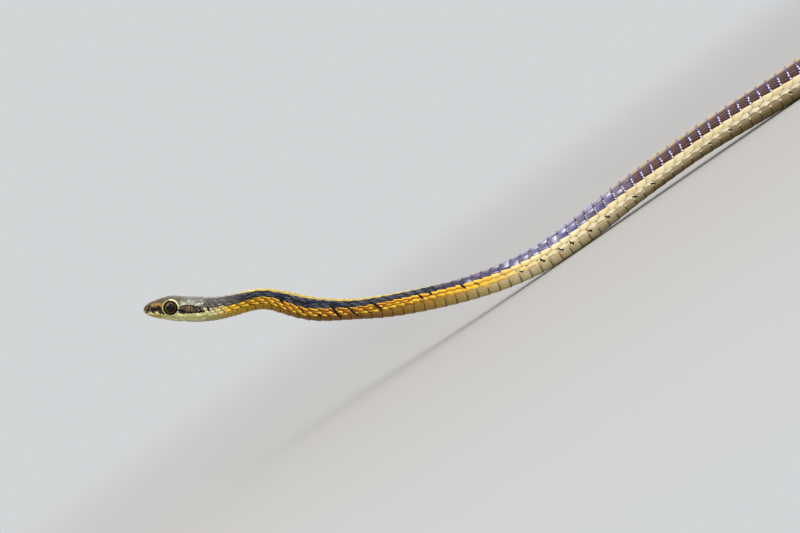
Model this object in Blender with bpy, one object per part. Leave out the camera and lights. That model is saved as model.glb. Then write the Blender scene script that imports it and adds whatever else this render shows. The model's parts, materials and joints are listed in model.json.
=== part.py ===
# A bronzeback tree snake at life size, lying on the floor with its forebody raised.
#
# Lengths are millimetres until a mesh is made, and then metres. A place on the animal is given
# by its distance behind the tip of the snout, along an axis at half the body's depth. The axis
# runs towards +X, +Z is up, and the animal's left side faces -Y.

import math

import bmesh
import bpy
from mathutils import Matrix, Vector

MM = 0.001
GAP = 0.3

# Where one named length of the body ends and the next begins
HEAD_END = 24.0
LENGTHS = [
    ("neck", 24.0, 66.0),
    ("forebody", 66.0, 160.0),
    ("trunk_front", 160.0, 290.0),
    ("trunk_middle", 290.0, 412.0),
    ("trunk_hind", 412.0, 558.0),
    ("trunk_rear", 558.0, 700.0),
    ("tail_base", 700.0, 842.0),
    ("tail_middle", 842.0, 960.0),
    ("tail_tip", 960.0, 1050.0),
]
VENT = 700.0
TOTAL = 1050.0

# Slope of the axis in degrees: below zero it comes down on its way to the tail
CLIMB = [
    (0, -34.5), (20, -34.5), (23, -28.5), (28, -22.0), (33, -20.0), (37, -23.0), (40, -31.0),
    (43.5, -45.0), (48, -50.0), (53, -48.0), (58, -41.0), (63, -35.0), (70, -31.5),
    (80, -28.0), (90, -23.5), (100, -22.0), (110, -18.4), (120, -14.2), (130, -9.0),
    (140, -2.8), (148, 1.2), (155, 3.6), (165, 4.6), (172, 4.0), (182, 1.6), (195, 1.0),
    (205, -1.0), (215, -2.8), (235, -1.9), (250, 0.0),
]
TOUCH_DOWN = 148.5
LIES_FLAT_FROM = 235.0
LIES_FLAT_FULLY = 260.0
BELLY_PRESSED = 0.95

# Side to side bends of the part that lies on the floor
SWEEP_START = 262.0
SWEEP_GROWN = 330.0
SWEEP_LEAD = 20.0
SWING = 97.0
TAIL_SWING = 48.0
TAIL_EASES_FROM = 760.0
WAVE_FIRST = 300.0
WAVE_LAST = 252.0
STEP = 0.5

# Above the axis, below it, and half the width
SIZES = [
    (0.0, 0.35, 0.35, 1.00), (0.3, 1.00, 0.95, 1.60), (0.7, 1.45, 1.35, 2.05),
    (1.3, 2.00, 1.72, 2.50), (2.0, 2.45, 1.98, 2.82), (3.6, 3.18, 2.45, 3.30),
    (5.3, 3.80, 2.80, 3.72), (7.0, 4.36, 3.12, 4.02), (8.7, 4.72, 3.38, 4.25),
    (10.5, 4.80, 3.58, 4.50), (12.2, 4.70, 3.75, 4.85), (15.5, 4.52, 3.98, 5.45),
    (18.9, 4.48, 4.02, 5.55), (21.5, 4.40, 3.85, 5.05), (24.0, 4.20, 3.75, 4.30),
    (27.0, 4.02, 3.62, 3.80), (30.0, 3.90, 3.52, 3.60), (36.0, 3.80, 3.36, 3.40),
    (42.0, 3.72, 3.30, 3.28), (49.0, 4.18, 3.75, 3.60), (55.0, 4.33, 3.90, 3.75),
    (60.0, 4.28, 3.85, 3.70), (68.0, 3.88, 3.45, 3.38), (73.0, 3.80, 3.38, 3.30),
    (80.0, 4.04, 3.68, 3.54), (90.0, 4.20, 3.90, 3.70), (110.0, 4.33, 4.05, 3.84),
    (130.0, 4.72, 4.50, 4.18), (148.0, 4.98, 4.88, 4.50), (165.0, 5.12, 5.12, 4.70),
    (200.0, 5.25, 5.10, 4.80), (225.0, 5.75, 5.50, 5.20), (250.0, 6.10, 5.95, 5.60),
    (320.0, 6.30, 6.25, 5.88), (450.0, 6.40, 6.40, 6.05), (580.0, 6.10, 6.10, 5.75),
    (660.0, 5.40, 5.40, 5.10), (700.0, 4.70, 4.70, 4.45), (715.0, 4.20, 4.20, 4.00),
    (760.0, 3.45, 3.45, 3.30), (830.0, 2.60, 2.60, 2.50), (930.0, 1.55, 1.55, 1.50),
    (1020.0, 0.72, 0.72, 0.70), (1050.0, 0.40, 0.40, 0.40),
]
# How square the section is, above and below its widest line: 2 is an ellipse
SQUARE = [
    (0, 2.2, 2.2), (3, 2.6, 2.4), (9, 2.9, 2.5), (15, 2.7, 2.5), (24, 2.3, 2.5),
    (40, 2.1, 2.7), (700, 2.1, 2.9), (760, 2.0, 2.4), (1050, 2.0, 2.0),
]

# Belly plates: one step every pitch, its free edge behind
PLATE_PITCH = 4.6
TAIL_PLATE_PITCH = 6.5
PLATE_STEP = 0.3
PLATE_RISE = 0.6
PLATE_TOP = -20.0
BODY_SIDES = 12

# The head in its own side view: distance behind the snout, height over the axis
HEAD_SIDES = 32
HEAD_SPACING = 0.9
LAST_SPACE = 1.3
SMOOTH_UP_TO = 35.0
MOUTH_LINE = [(-2.0, -1.45), (1.0, -1.55), (4.0, -1.90), (8.0, -2.20), (13.0, -2.50), (18.0, -2.50),
              (20.6, -2.05)]
JAW_CORNER_DROP = (22.4, -6.5)
JAW_CUT_HALF = 9.0
LIP_RAISE = 0.16
LIP_WIDTH = 0.55
EYE_PLACE = (9.25, 0.85)
EYE_RADIUS = 2.25
EYE_DEPTH_RADIUS = 1.75
EYE_OUT = 3.30
NOSTRIL_PLACE = (2.05, 1.45)
NOSTRIL_RADIUS = 0.42
# Soft swellings and hollows of the side of the head: place, reach along and up, and height
SWELLINGS = [
    (9.3, 0.9, 3.2, 2.8, 0.45),
    (5.4, 1.0, 1.9, 1.3, -0.30),
    (16.5, -0.6, 4.0, 2.2, 0.20),
]

# Shields of the crown, right half: (across, behind the snout). The frontal crosses the middle
SHIELD_RAISE = 0.14
CROWN_FLOOR = 0.8
CROWN_SHIELDS = [
    [(0.12, 1.5), (1.5, 1.7), (2.2, 3.4), (0.12, 3.6)],
    [(0.12, 3.85), (2.3, 3.65), (3.2, 6.4), (2.0, 6.9), (0.12, 6.9)],
    [(2.1, 7.2), (3.4, 6.7), (4.6, 8.2), (4.7, 10.6), (4.0, 12.1), (2.7, 12.6), (1.5, 12.3),
     (1.75, 10.4)],
    [(0.12, 13.3), (1.3, 12.65), (2.7, 12.9), (4.1, 12.4), (4.5, 15.4), (3.0, 19.2), (1.3, 20.2),
     (0.12, 19.0)],
]
FRONTAL = [(-1.85, 7.2), (1.85, 7.2), (1.5, 10.4), (1.2, 12.3), (0.0, 13.0), (-1.2, 12.3), (-1.5, 10.4)]
# Seams between the upper lip shields at the mouth, how far they lean back, and their height there
LIP_EDGES = [1.3, 3.0, 4.7, 6.3, 8.0, 10.0, 12.3, 14.9, 17.6, 20.3]
LIP_LEAN = 0.35
LIP_TOP = [(1.3, 0.9), (4.0, 1.25), (6.5, 1.35), (12.0, 1.25), (15.0, 1.7), (18.0, 1.6), (20.3, 0.9)]
SIDE_FLOOR = [(0.0, 0.0), (1.3, 0.7), (4.0, 2.0), (8.0, 3.0), (16.0, 4.0), (22.0, 3.6)]
COLUMN = 6.0
SEAM = 0.14
# Shields of the side of the snout: (behind the snout, height), nasal, loreal and preocular
SNOUT_SHIELDS = [
    [(1.5, -0.25), (3.9, 0.05), (3.7, 2.2), (2.9, 2.35), (1.6, 1.9)],
    [(4.2, 0.05), (6.0, -0.1), (5.9, 2.0), (3.95, 2.2)],
    [(6.3, -0.1), (8.2, -0.6), (7.6, 3.0), (6.2, 2.1)],
]
# The temple: two rows of large plates behind the eye
TEMPLE_SHIELDS = [
    [(11.9, -0.75), (13.9, -0.5), (14.0, 1.1), (12.2, 0.9)],
    [(12.3, 1.2), (14.0, 1.4), (14.1, 3.0), (11.9, 2.9)],
    [(14.2, -0.5), (18.2, -0.55), (18.4, 1.2), (14.3, 1.1)],
    [(14.3, 1.4), (18.6, 1.5), (18.0, 3.1), (14.4, 3.0)],
]


def reading(table, distance, column=1):
    """The table's value at a distance, on a smooth curve through its rows."""
    rows = len(table)
    if distance <= table[0][0]:
        return table[0][column]
    if distance >= table[-1][0]:
        return table[-1][column]
    i = 0
    while table[i + 1][0] < distance:
        i += 1

    def slope(j):
        if j == 0 or j == rows - 1:
            return 0.0
        before = (table[j][column] - table[j - 1][column]) / (table[j][0] - table[j - 1][0])
        after = (table[j + 1][column] - table[j][column]) / (table[j + 1][0] - table[j][0])
        if before * after <= 0.0:
            return 0.0
        return 2.0 * before * after / (before + after)

    span = table[i + 1][0] - table[i][0]
    t = (distance - table[i][0]) / span
    start, end = table[i][column], table[i + 1][column]
    ease = t * t * (3.0 - 2.0 * t)
    lean = (slope(i) * t * (1.0 - t) ** 2 - slope(i + 1) * t * t * (1.0 - t)) * span
    return start + (end - start) * ease + lean


def fade(distance, start, end):
    """0 before start, 1 after end, and smooth between."""
    t = min(max((distance - start) / (end - start), 0.0), 1.0)
    return t * t * (3.0 - 2.0 * t)


def slope_at(distance):
    return math.radians(reading(CLIMB, distance)) * (1.0 - fade(distance, LIES_FLAT_FROM, LIES_FLAT_FULLY))


def belly_drop(distance):
    """Height of the axis where the belly is pressed flat on the floor."""
    return reading(SIZES, distance, 2) * BELLY_PRESSED


def walk():
    """The axis as a list of (point, slope, heading), one every STEP, on the floor at z = 0."""
    count = int(TOTAL / STEP) + 1
    stations = []
    x, y, z = 0.0, 0.0, 0.0
    turns = 0.0
    for i in range(count):
        distance = i * STEP
        slope = slope_at(distance)
        if distance > SWEEP_START:
            share = (distance - SWEEP_START) / (TOTAL - SWEEP_START)
            turns += STEP / (WAVE_FIRST + (WAVE_LAST - WAVE_FIRST) * share)
        swing = SWING + (TAIL_SWING - SWING) * fade(distance, TAIL_EASES_FROM, TOTAL)
        swing *= fade(distance, SWEEP_START - SWEEP_LEAD, SWEEP_GROWN)
        heading = math.radians(swing) * math.sin(2.0 * math.pi * turns)
        stations.append([Vector((x, y, z)), slope, heading])
        x += STEP * math.cos(slope) * math.cos(heading)
        y += STEP * math.cos(slope) * math.sin(heading)
        z += STEP * math.sin(slope)
    touch = stations[int(TOUCH_DOWN / STEP)][0].copy()
    touch_height = belly_drop(TOUCH_DOWN)
    for i, station in enumerate(stations):
        distance = i * STEP
        station[0] -= touch
        station[0].z += touch_height
        flat = fade(distance, LIES_FLAT_FROM, LIES_FLAT_FULLY)
        station[0].z += (belly_drop(distance) - station[0].z) * flat
    return stations


STATIONS = walk()


def floor_middle():
    """Middle of the floor that the animal covers, which is the part's origin."""
    low_x, high_x, low_y, high_y = 0.0, 0.0, 0.0, 0.0
    for i, (point, slope, heading) in enumerate(STATIONS):
        half = reading(SIZES, i * STEP, 3)
        low_x = min(low_x, point.x - half * abs(math.sin(heading)))
        high_x = max(high_x, point.x + half * abs(math.sin(heading)))
        low_y = min(low_y, point.y - half * math.cos(heading))
        high_y = max(high_y, point.y + half * math.cos(heading))
    return Vector(((low_x + high_x) / 2.0, (low_y + high_y) / 2.0, 0.0))


MIDDLE = floor_middle()


def place(distance):
    """Matrix of the section at a distance: x to the animal's left, y tailward, z up."""
    share = min(max(distance / STEP, 0.0), len(STATIONS) - 1.001)
    i = int(share)
    t = share - i
    before, after = STATIONS[i], STATIONS[i + 1]
    point = before[0].lerp(after[0], t) - MIDDLE
    slope = before[1] + (after[1] - before[1]) * t
    heading = before[2] + (after[2] - before[2]) * t
    left = Vector((math.sin(heading), -math.cos(heading), 0.0))
    back = Vector((math.cos(slope) * math.cos(heading), math.cos(slope) * math.sin(heading), math.sin(slope)))
    up = left.cross(back)
    return Matrix((
        (left.x, back.x, up.x, point.x),
        (left.y, back.y, up.y, point.y),
        (left.z, back.z, up.z, point.z),
        (0.0, 0.0, 0.0, 1.0),
    ))


def power(value, exponent):
    return math.copysign(abs(value) ** exponent, value)


def outline(distance, sides, grow=0.0):
    """Points (across, up) of the section, anticlockwise seen from behind, belly in the middle."""
    above = reading(SIZES, distance, 1) + grow
    below = reading(SIZES, distance, 2) + grow
    half = reading(SIZES, distance, 3) + grow
    square_above = reading(SQUARE, distance, 1)
    square_below = reading(SQUARE, distance, 2)
    points = []
    for k in range(sides):
        angle = -math.pi / 2.0 + 2.0 * math.pi * (k + 0.5) / sides
        along, rise = math.cos(angle), math.sin(angle)
        square = square_above if rise > 0.0 else square_below
        tall = above if rise > 0.0 else below
        points.append([half * power(along, 2.0 / square), tall * power(rise, 2.0 / square), angle])
    return points


def mouth_height(distance):
    return reading(MOUTH_LINE, distance)


def side_relief(distance, height):
    """How far the side of the head stands out from its plain section."""
    out = 0.0
    for where, level, reach, tall, amount in SWELLINGS:
        far = ((distance - where) / reach) ** 2 + ((height - level) / tall) ** 2
        out += amount * math.exp(-2.0 * far)
    if distance < MOUTH_LINE[-1][0]:
        from_mouth = (height - mouth_height(distance)) / LIP_WIDTH
        out += LIP_RAISE * math.exp(-0.5 * (abs(from_mouth) - 1.0) ** 2)
    return out


def head_ring(distance, grow=0.0):
    points = []
    for across, up, angle in outline(distance, HEAD_SIDES, grow):
        side = abs(math.cos(angle))
        nose = fade(distance, 0.3, 2.5)
        across += math.copysign(side_relief(distance, up) * side * nose, across)
        points.append((across, up))
    return points


def body_ring(distance, step_share):
    """Section with the belly plates standing out by a share of their step."""
    points = []
    thin = min(1.0, reading(SIZES, distance, 2) / 3.0)
    for across, up, angle in outline(distance, BODY_SIDES):
        low = math.degrees(angle if angle <= math.pi / 2.0 else math.pi - angle)
        if low < PLATE_TOP:
            out = PLATE_STEP * thin * step_share
            length = math.hypot(across, up)
            across += out * across / length
            up += out * up / length
        points.append((across, up))
    return points


def new_object(name, mesh, collection):
    thing = bpy.data.objects.new(name, mesh)
    collection.objects.link(thing)
    return thing


def loft(name, rings, collection):
    """A closed body through rings of equal count: (distance, points), snout end first."""
    shape = bmesh.new()
    loops = []
    for distance, points in rings:
        matrix = place(distance)
        loop = []
        for across, up in points:
            corner = matrix @ Vector((across, 0.0, up))
            corner.z = max(corner.z, 0.0)
            loop.append(shape.verts.new(corner * MM))
        loops.append(loop)
    count = len(loops[0])
    for first, second in zip(loops, loops[1:]):
        for k in range(count):
            after = (k + 1) % count
            shape.faces.new((first[k], second[k], second[after], first[after]))
    shape.faces.new(loops[0])
    shape.faces.new(list(reversed(loops[-1])))
    bmesh.ops.recalc_face_normals(shape, faces=shape.faces)
    bmesh.ops.triangulate(shape, faces=shape.faces, quad_method="SHORT_EDGE")
    mesh = bpy.data.meshes.new(name)
    shape.to_mesh(mesh)
    shape.free()
    mesh.shade_smooth()
    mesh.set_sharp_from_angle(angle=math.radians(SMOOTH_UP_TO))
    return new_object(name, mesh, collection)


def head_distances():
    """Stations along the head, closer together where the snout rounds off."""
    distances = [0.0, 0.12, 0.3, 0.55, 0.9, 1.35, 1.9, 2.5]
    while distances[-1] < HEAD_END - HEAD_SPACING * LAST_SPACE:
        distances.append(distances[-1] + HEAD_SPACING)
    distances[-1] = HEAD_END - GAP / 2.0
    return distances


def head_loft(name, collection, grow=0.0):
    return loft(name, [(d, head_ring(d, grow)) for d in head_distances()], collection)


def body_length(name, start, end, collection):
    """A length of neck, trunk or tail with its belly plates."""
    first, last = start + GAP / 2.0, end - GAP / 2.0
    if end == TOTAL:
        last = end
    pitch = PLATE_PITCH if start < VENT else TAIL_PLATE_PITCH
    plates = max(1, round((last - first) / pitch))
    pitch = (last - first) / plates
    rings = []
    for i in range(plates):
        front = first + i * pitch
        rings.append((front + (PLATE_RISE if i else 0.0), body_ring(front, 0.0)))
        rings.append((front + pitch, body_ring(front + pitch, 1.0)))
    return loft(name, rings, collection)


def column(shape, corners, sweep):
    """Add a closed column to a shape: a face of the given corners, swept along a vector."""
    face = shape.faces.new([shape.verts.new(corner) for corner in corners])
    grown = bmesh.ops.extrude_face_region(shape, geom=[face])
    moved = [item for item in grown["geom"] if isinstance(item, bmesh.types.BMVert)]
    bmesh.ops.translate(shape, verts=moved, vec=sweep)


def on_head(name, shape, collection):
    """An object from a shape that was drawn in the head's own frame, in millimetres."""
    bmesh.ops.recalc_face_normals(shape, faces=shape.faces)
    shape.transform(Matrix.Scale(MM, 4) @ place(0.0))
    mesh = bpy.data.meshes.new(name)
    shape.to_mesh(mesh)
    shape.free()
    return new_object(name, mesh, collection)


def prism(name, corners, half_width, collection):
    """A bar across the head from corners given in the head's side view."""
    shape = bmesh.new()
    column(shape, [(-half_width, back, up) for back, up in corners], (2.0 * half_width, 0.0, 0.0))
    return on_head(name, shape, collection)


def crown_columns():
    """Columns standing over each shield of the crown, as (corners, sweep)."""
    columns = [([(across, back, CROWN_FLOOR) for across, back in FRONTAL], (0.0, 0.0, COLUMN))]
    for side in (-1.0, 1.0):
        for corners in CROWN_SHIELDS:
            spots = [(side * across, back, CROWN_FLOOR) for across, back in corners]
            columns.append((spots, (0.0, 0.0, COLUMN)))
    return columns


def side_columns(shields):
    """Columns standing out from each shield of both sides of the head."""
    columns = []
    for side in (-1.0, 1.0):
        for corners in shields:
            floor = side * reading(SIDE_FLOOR, corners[0][0])
            spots = [(floor, back, up) for back, up in corners]
            columns.append((spots, (side * COLUMN, 0.0, 0.0)))
    return columns


def lip_shields():
    """Side views of the upper lip shields, each with a bowed top that leans back."""
    shields = []
    for front, rear in zip(LIP_EDGES, LIP_EDGES[1:]):
        first, last = front + SEAM, rear - SEAM
        spots = [(first, mouth_height(first)), (last, mouth_height(last))]
        for back in (last, (first + last) / 2.0, first):
            spots.append((back + LIP_LEAN, mouth_height(back) + reading(LIP_TOP, back)))
        shields.append(spots)
    return shields


def raise_shields(head, name, columns, cutters):
    """Raise a set of shields on the head: a slightly larger head, kept only over their columns."""
    shape = bmesh.new()
    for corners, sweep in columns:
        column(shape, corners, sweep)
    raised = head_loft(name, cutters, SHIELD_RAISE)
    combine(raised, on_head(name + "_columns", shape, cutters), "INTERSECT")
    combine(head, raised, "UNION")


def jaw_corners(shift):
    """Side view of the lower jaw, with its upper and rear edges moved out by shift."""
    line = [(back, up + shift) for back, up in MOUTH_LINE]
    corner = (line[-1][0] + shift, line[-1][1])
    foot = (JAW_CORNER_DROP[0] + shift, JAW_CORNER_DROP[1])
    return line[:-1] + [corner, foot, (MOUTH_LINE[0][0], JAW_CORNER_DROP[1])]


def ball(name, where, out, radii, collection, segments=18, rings=10):
    """An ellipsoid beside the head. Radii run across, along and up."""
    shape = bmesh.new()
    bmesh.ops.create_uvsphere(shape, u_segments=segments, v_segments=rings, radius=1.0)
    turn = Matrix.Rotation(math.pi / 2.0, 4, "Y")
    size = Matrix.Diagonal((radii[0], radii[1], radii[2], 1.0))
    centre = Matrix.Translation((out, where[0], where[1]))
    shape.transform(Matrix.Scale(MM, 4) @ place(0.0) @ centre @ size @ turn)
    mesh = bpy.data.meshes.new(name)
    shape.to_mesh(mesh)
    shape.free()
    mesh.shade_smooth()
    return new_object(name, mesh, collection)


def combine(target, cutter, operation):
    """Cut or join by the solver that keeps the thin shields closed where they run into each other."""
    boolean = target.modifiers.new(operation.lower(), "BOOLEAN")
    boolean.operation = operation
    boolean.solver = "MANIFOLD"
    boolean.object = cutter
    cutter.hide_render = True
    cutter.display_type = "WIRE"


def finish(name, colour, roughness):
    """A plain skin, horn or eye material with the part's colour."""
    material = bpy.data.materials.new(name)
    material.use_nodes = True
    shader = material.node_tree.nodes["Principled BSDF"]
    shader.inputs["Base Color"].default_value = (*colour, 1.0)
    shader.inputs["Roughness"].default_value = roughness
    shader.inputs["Metallic"].default_value = 0.0
    material.diffuse_color = (*colour, 1.0)
    return material


def main():
    for thing in list(bpy.data.objects):
        bpy.data.objects.remove(thing, do_unlink=True)
    snake = bpy.data.collections.new("bronzeback_tree_snake")
    cutters = bpy.data.collections.new("cutters")
    bpy.context.scene.collection.children.link(snake)
    bpy.context.scene.collection.children.link(cutters)

    head_skin = finish("head_shields_olive_brown", (0.130, 0.100, 0.058), 0.40)
    jaw_skin = finish("lip_shields_cream", (0.520, 0.480, 0.300), 0.42)
    neck_skin = finish("neck_scales_orange", (0.500, 0.250, 0.030), 0.42)
    body_skin = finish("body_scales_bronze", (0.250, 0.170, 0.085), 0.42)
    tail_skin = finish("tail_scales_bronze", (0.200, 0.140, 0.075), 0.45)
    eye_black = finish("eye_dark_glassy", (0.020, 0.013, 0.010), 0.08)

    head = head_loft("head", snake)
    jaw = head_loft("jaw", snake)
    raise_shields(head, "crown", crown_columns(), cutters)
    raise_shields(head, "lips", side_columns(lip_shields()), cutters)
    raise_shields(head, "snout", side_columns(SNOUT_SHIELDS), cutters)
    raise_shields(head, "temples", side_columns(TEMPLE_SHIELDS), cutters)
    combine(head, prism("mouth_cut", jaw_corners(GAP / 2.0), JAW_CUT_HALF, cutters), "DIFFERENCE")
    combine(jaw, prism("jaw_keep", jaw_corners(-GAP / 2.0), JAW_CUT_HALF, cutters), "INTERSECT")
    head.data.materials.append(head_skin)
    jaw.data.materials.append(jaw_skin)

    for side_name, side in (("left", 1.0), ("right", -1.0)):
        radii = (EYE_DEPTH_RADIUS, EYE_RADIUS, EYE_RADIUS)
        eye = ball("eye_" + side_name, EYE_PLACE, side * EYE_OUT, radii, snake)
        eye.data.materials.append(eye_black)
        roomy = [radius + GAP for radius in radii]
        socket = ball("socket_" + side_name, EYE_PLACE, side * EYE_OUT, roomy, cutters)
        combine(head, socket, "DIFFERENCE")
        nose_half = reading(SIZES, NOSTRIL_PLACE[0], 3)
        small = (NOSTRIL_RADIUS * 1.5, NOSTRIL_RADIUS * 1.2, NOSTRIL_RADIUS)
        nostril = ball("nostril_" + side_name, NOSTRIL_PLACE, side * nose_half, small, cutters, 12, 8)
        combine(head, nostril, "DIFFERENCE")

    skins = {"neck": neck_skin, "forebody": neck_skin}
    for name, start, end in LENGTHS:
        piece = body_length(name, start, end, snake)
        skin = tail_skin if name.startswith("tail") else skins.get(name, body_skin)
        piece.data.materials.append(skin)


main()
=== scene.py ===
# %% [markdown]
# # A bronzeback tree snake, life size
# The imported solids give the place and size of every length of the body. This file dresses them: one
# skin from the snout to the tip of the tail, horny shields on the head, about 4,400 separate scales
# and belly plates laid over the skin, and two eyes. Sizes are in millimetres until a mesh is made.

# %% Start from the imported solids
import json
import math

import bmesh
import bpy
import numpy as np
from mathutils import Matrix, Vector
from mathutils.kdtree import KDTree

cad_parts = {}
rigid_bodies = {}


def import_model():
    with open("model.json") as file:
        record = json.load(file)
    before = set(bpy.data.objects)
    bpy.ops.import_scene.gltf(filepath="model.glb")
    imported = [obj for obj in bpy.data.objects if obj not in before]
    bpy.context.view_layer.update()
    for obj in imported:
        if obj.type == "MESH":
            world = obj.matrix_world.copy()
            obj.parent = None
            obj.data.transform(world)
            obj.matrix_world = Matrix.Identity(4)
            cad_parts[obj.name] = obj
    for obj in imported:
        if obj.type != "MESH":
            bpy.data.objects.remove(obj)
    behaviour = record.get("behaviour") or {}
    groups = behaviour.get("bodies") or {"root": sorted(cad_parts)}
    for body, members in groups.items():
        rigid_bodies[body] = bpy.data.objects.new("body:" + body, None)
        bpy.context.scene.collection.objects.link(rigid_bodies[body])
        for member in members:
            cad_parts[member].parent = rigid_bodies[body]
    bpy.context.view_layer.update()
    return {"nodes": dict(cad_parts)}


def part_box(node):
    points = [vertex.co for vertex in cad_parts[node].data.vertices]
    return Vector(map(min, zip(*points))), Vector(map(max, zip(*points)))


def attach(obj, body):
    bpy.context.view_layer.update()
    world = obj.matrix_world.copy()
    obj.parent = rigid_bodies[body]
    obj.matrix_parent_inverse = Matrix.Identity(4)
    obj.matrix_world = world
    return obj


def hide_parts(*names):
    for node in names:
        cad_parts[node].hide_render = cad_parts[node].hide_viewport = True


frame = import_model()
MM = 0.001
print("solids:", sorted(frame["nodes"]))

# %% [markdown]
# ## The line of the body
# A snake is one long tube, so everything on it has a simple address: how far behind the snout it
# is, and how far round the body. The axis is walked in small steps from a table of slopes, and from
# a sine of the heading where the body lies in bends on the floor. The solids were made from the
# same values, so skin and scales land exactly on them.

# %% Values of the line
STEP = 0.5
TOTAL = 1050.0
# Slope of the axis in degrees, at distances behind the snout
CLIMB = [
    (0, -34.5), (20, -34.5), (23, -28.5), (28, -22.0), (33, -20.0), (37, -23.0), (40, -31.0),
    (43.5, -45.0), (48, -50.0), (53, -48.0), (58, -41.0), (63, -35.0), (70, -31.5),
    (80, -28.0), (90, -23.5), (100, -22.0), (110, -18.4), (120, -14.2), (130, -9.0),
    (140, -2.8), (148, 1.2), (155, 3.6), (165, 4.6), (172, 4.0), (182, 1.6), (195, 1.0),
    (205, -1.0), (215, -2.8), (235, -1.9), (250, 0.0),
]
# Where the belly reaches the floor, where all of it lies there, and how far it is pressed down
TOUCH_DOWN = 148.5
LIES_FLAT = (235.0, 260.0)
BELLY_PRESSED = 0.95
# Bends on the floor: where they start and are fully grown, their swing in degrees and their waves
SWEEP_START = 262.0
SWEEP_LEAD = 20.0
SWEEP_GROWN = 330.0
SWING = 97.0
TAIL_SWING = 48.0
TAIL_EASES_FROM = 760.0
WAVE_FIRST = 300.0
WAVE_LAST = 252.0

# Above the axis, below it, and half the width, at distances behind the snout
SIZES = [
    (0.0, 0.35, 0.35, 1.00), (0.3, 1.00, 0.95, 1.60), (0.7, 1.45, 1.35, 2.05),
    (1.3, 2.00, 1.72, 2.50), (2.0, 2.45, 1.98, 2.82), (3.6, 3.18, 2.45, 3.30),
    (5.3, 3.80, 2.80, 3.72), (7.0, 4.36, 3.12, 4.02), (8.7, 4.72, 3.38, 4.25),
    (10.5, 4.80, 3.58, 4.50), (12.2, 4.70, 3.75, 4.85), (15.5, 4.52, 3.98, 5.45),
    (18.9, 4.48, 4.02, 5.55), (21.5, 4.40, 3.85, 5.05), (24.0, 4.20, 3.75, 4.30),
    (27.0, 4.02, 3.62, 3.80), (30.0, 3.90, 3.52, 3.60), (36.0, 3.80, 3.36, 3.40),
    (42.0, 3.72, 3.30, 3.28), (49.0, 4.18, 3.75, 3.60), (55.0, 4.33, 3.90, 3.75),
    (60.0, 4.28, 3.85, 3.70), (68.0, 3.88, 3.45, 3.38), (73.0, 3.80, 3.38, 3.30),
    (80.0, 4.04, 3.68, 3.54), (90.0, 4.20, 3.90, 3.70), (110.0, 4.33, 4.05, 3.84),
    (130.0, 4.72, 4.50, 4.18), (148.0, 4.98, 4.88, 4.50), (165.0, 5.12, 5.12, 4.70),
    (200.0, 5.25, 5.10, 4.80), (225.0, 5.75, 5.50, 5.20), (250.0, 6.10, 5.95, 5.60),
    (320.0, 6.30, 6.25, 5.88), (450.0, 6.40, 6.40, 6.05), (580.0, 6.10, 6.10, 5.75),
    (660.0, 5.40, 5.40, 5.10), (700.0, 4.70, 4.70, 4.45), (715.0, 4.20, 4.20, 4.00),
    (760.0, 3.45, 3.45, 3.30), (830.0, 2.60, 2.60, 2.50), (930.0, 1.55, 1.55, 1.50),
    (1020.0, 0.72, 0.72, 0.70), (1050.0, 0.40, 0.40, 0.40),
]
# How square the section is, above and below its widest line: 2 is an ellipse
SQUARE = [
    (0, 2.2, 2.2), (3, 2.6, 2.4), (9, 2.9, 2.5), (15, 2.7, 2.5), (24, 2.3, 2.5),
    (40, 2.1, 2.7), (700, 2.1, 2.9), (760, 2.0, 2.4), (1050, 2.0, 2.0),
]
print(len(CLIMB), "slopes and", len(SIZES), "sections along", TOTAL, "mm")


# %% Smooth readings from the tables
def reading(table, distance, column=1):
    """The table's value at a distance, on a smooth curve through its rows."""
    rows = len(table)
    if distance <= table[0][0]:
        return table[0][column]
    if distance >= table[-1][0]:
        return table[-1][column]
    i = 0
    while table[i + 1][0] < distance:
        i += 1

    def slope(j):
        if j == 0 or j == rows - 1:
            return 0.0
        before = (table[j][column] - table[j - 1][column]) / (table[j][0] - table[j - 1][0])
        after = (table[j + 1][column] - table[j][column]) / (table[j + 1][0] - table[j][0])
        if before * after <= 0.0:
            return 0.0
        return 2.0 * before * after / (before + after)

    span = table[i + 1][0] - table[i][0]
    t = (distance - table[i][0]) / span
    start, end = table[i][column], table[i + 1][column]
    ease = t * t * (3.0 - 2.0 * t)
    lean = (slope(i) * t * (1.0 - t) ** 2 - slope(i + 1) * t * t * (1.0 - t)) * span
    return start + (end - start) * ease + lean


def along_table(table, distances, column=1):
    """The table's values at many distances."""
    return np.array([reading(table, d, column) for d in distances])


def fade(distance, start, end):
    """0 before start, 1 after end, and smooth between, for numbers and arrays."""
    t = np.clip((np.asarray(distance, dtype=float) - start) / (end - start), 0.0, 1.0)
    return t * t * (3.0 - 2.0 * t)


def window(value, rise, fall):
    """1 between a rise and a fall, which are each given by their start and end."""
    return fade(value, *rise) * (1.0 - fade(value, *fall))


def bell(value, middle, width):
    """1 at the middle, falling off smoothly to both sides."""
    return np.exp(-((value - middle) / width) ** 2)


GRID = np.arange(0.0, TOTAL + STEP / 2.0, STEP)
# Places at which tables are read once: close together on the head, where the shape changes fast
FINE_STEP = 0.05
FINE_END = 30.0
FINE = np.concatenate([np.arange(0.0, FINE_END, FINE_STEP), np.arange(FINE_END, TOTAL + 0.3, STEP)])
SIZE_AT = {}
for label, table, column in (
    ("above", SIZES, 1), ("below", SIZES, 2), ("half", SIZES, 3),
    ("square_above", SQUARE, 1), ("square_below", SQUARE, 2),
):
    SIZE_AT[label] = along_table(table, FINE, column)


def size(label, distance):
    """A measure of the section, such as half its width, for arrays of distances."""
    return np.interp(distance, FINE, SIZE_AT[label])


print("widest place:", round(2.0 * SIZE_AT["half"].max(), 1), "mm")


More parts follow.
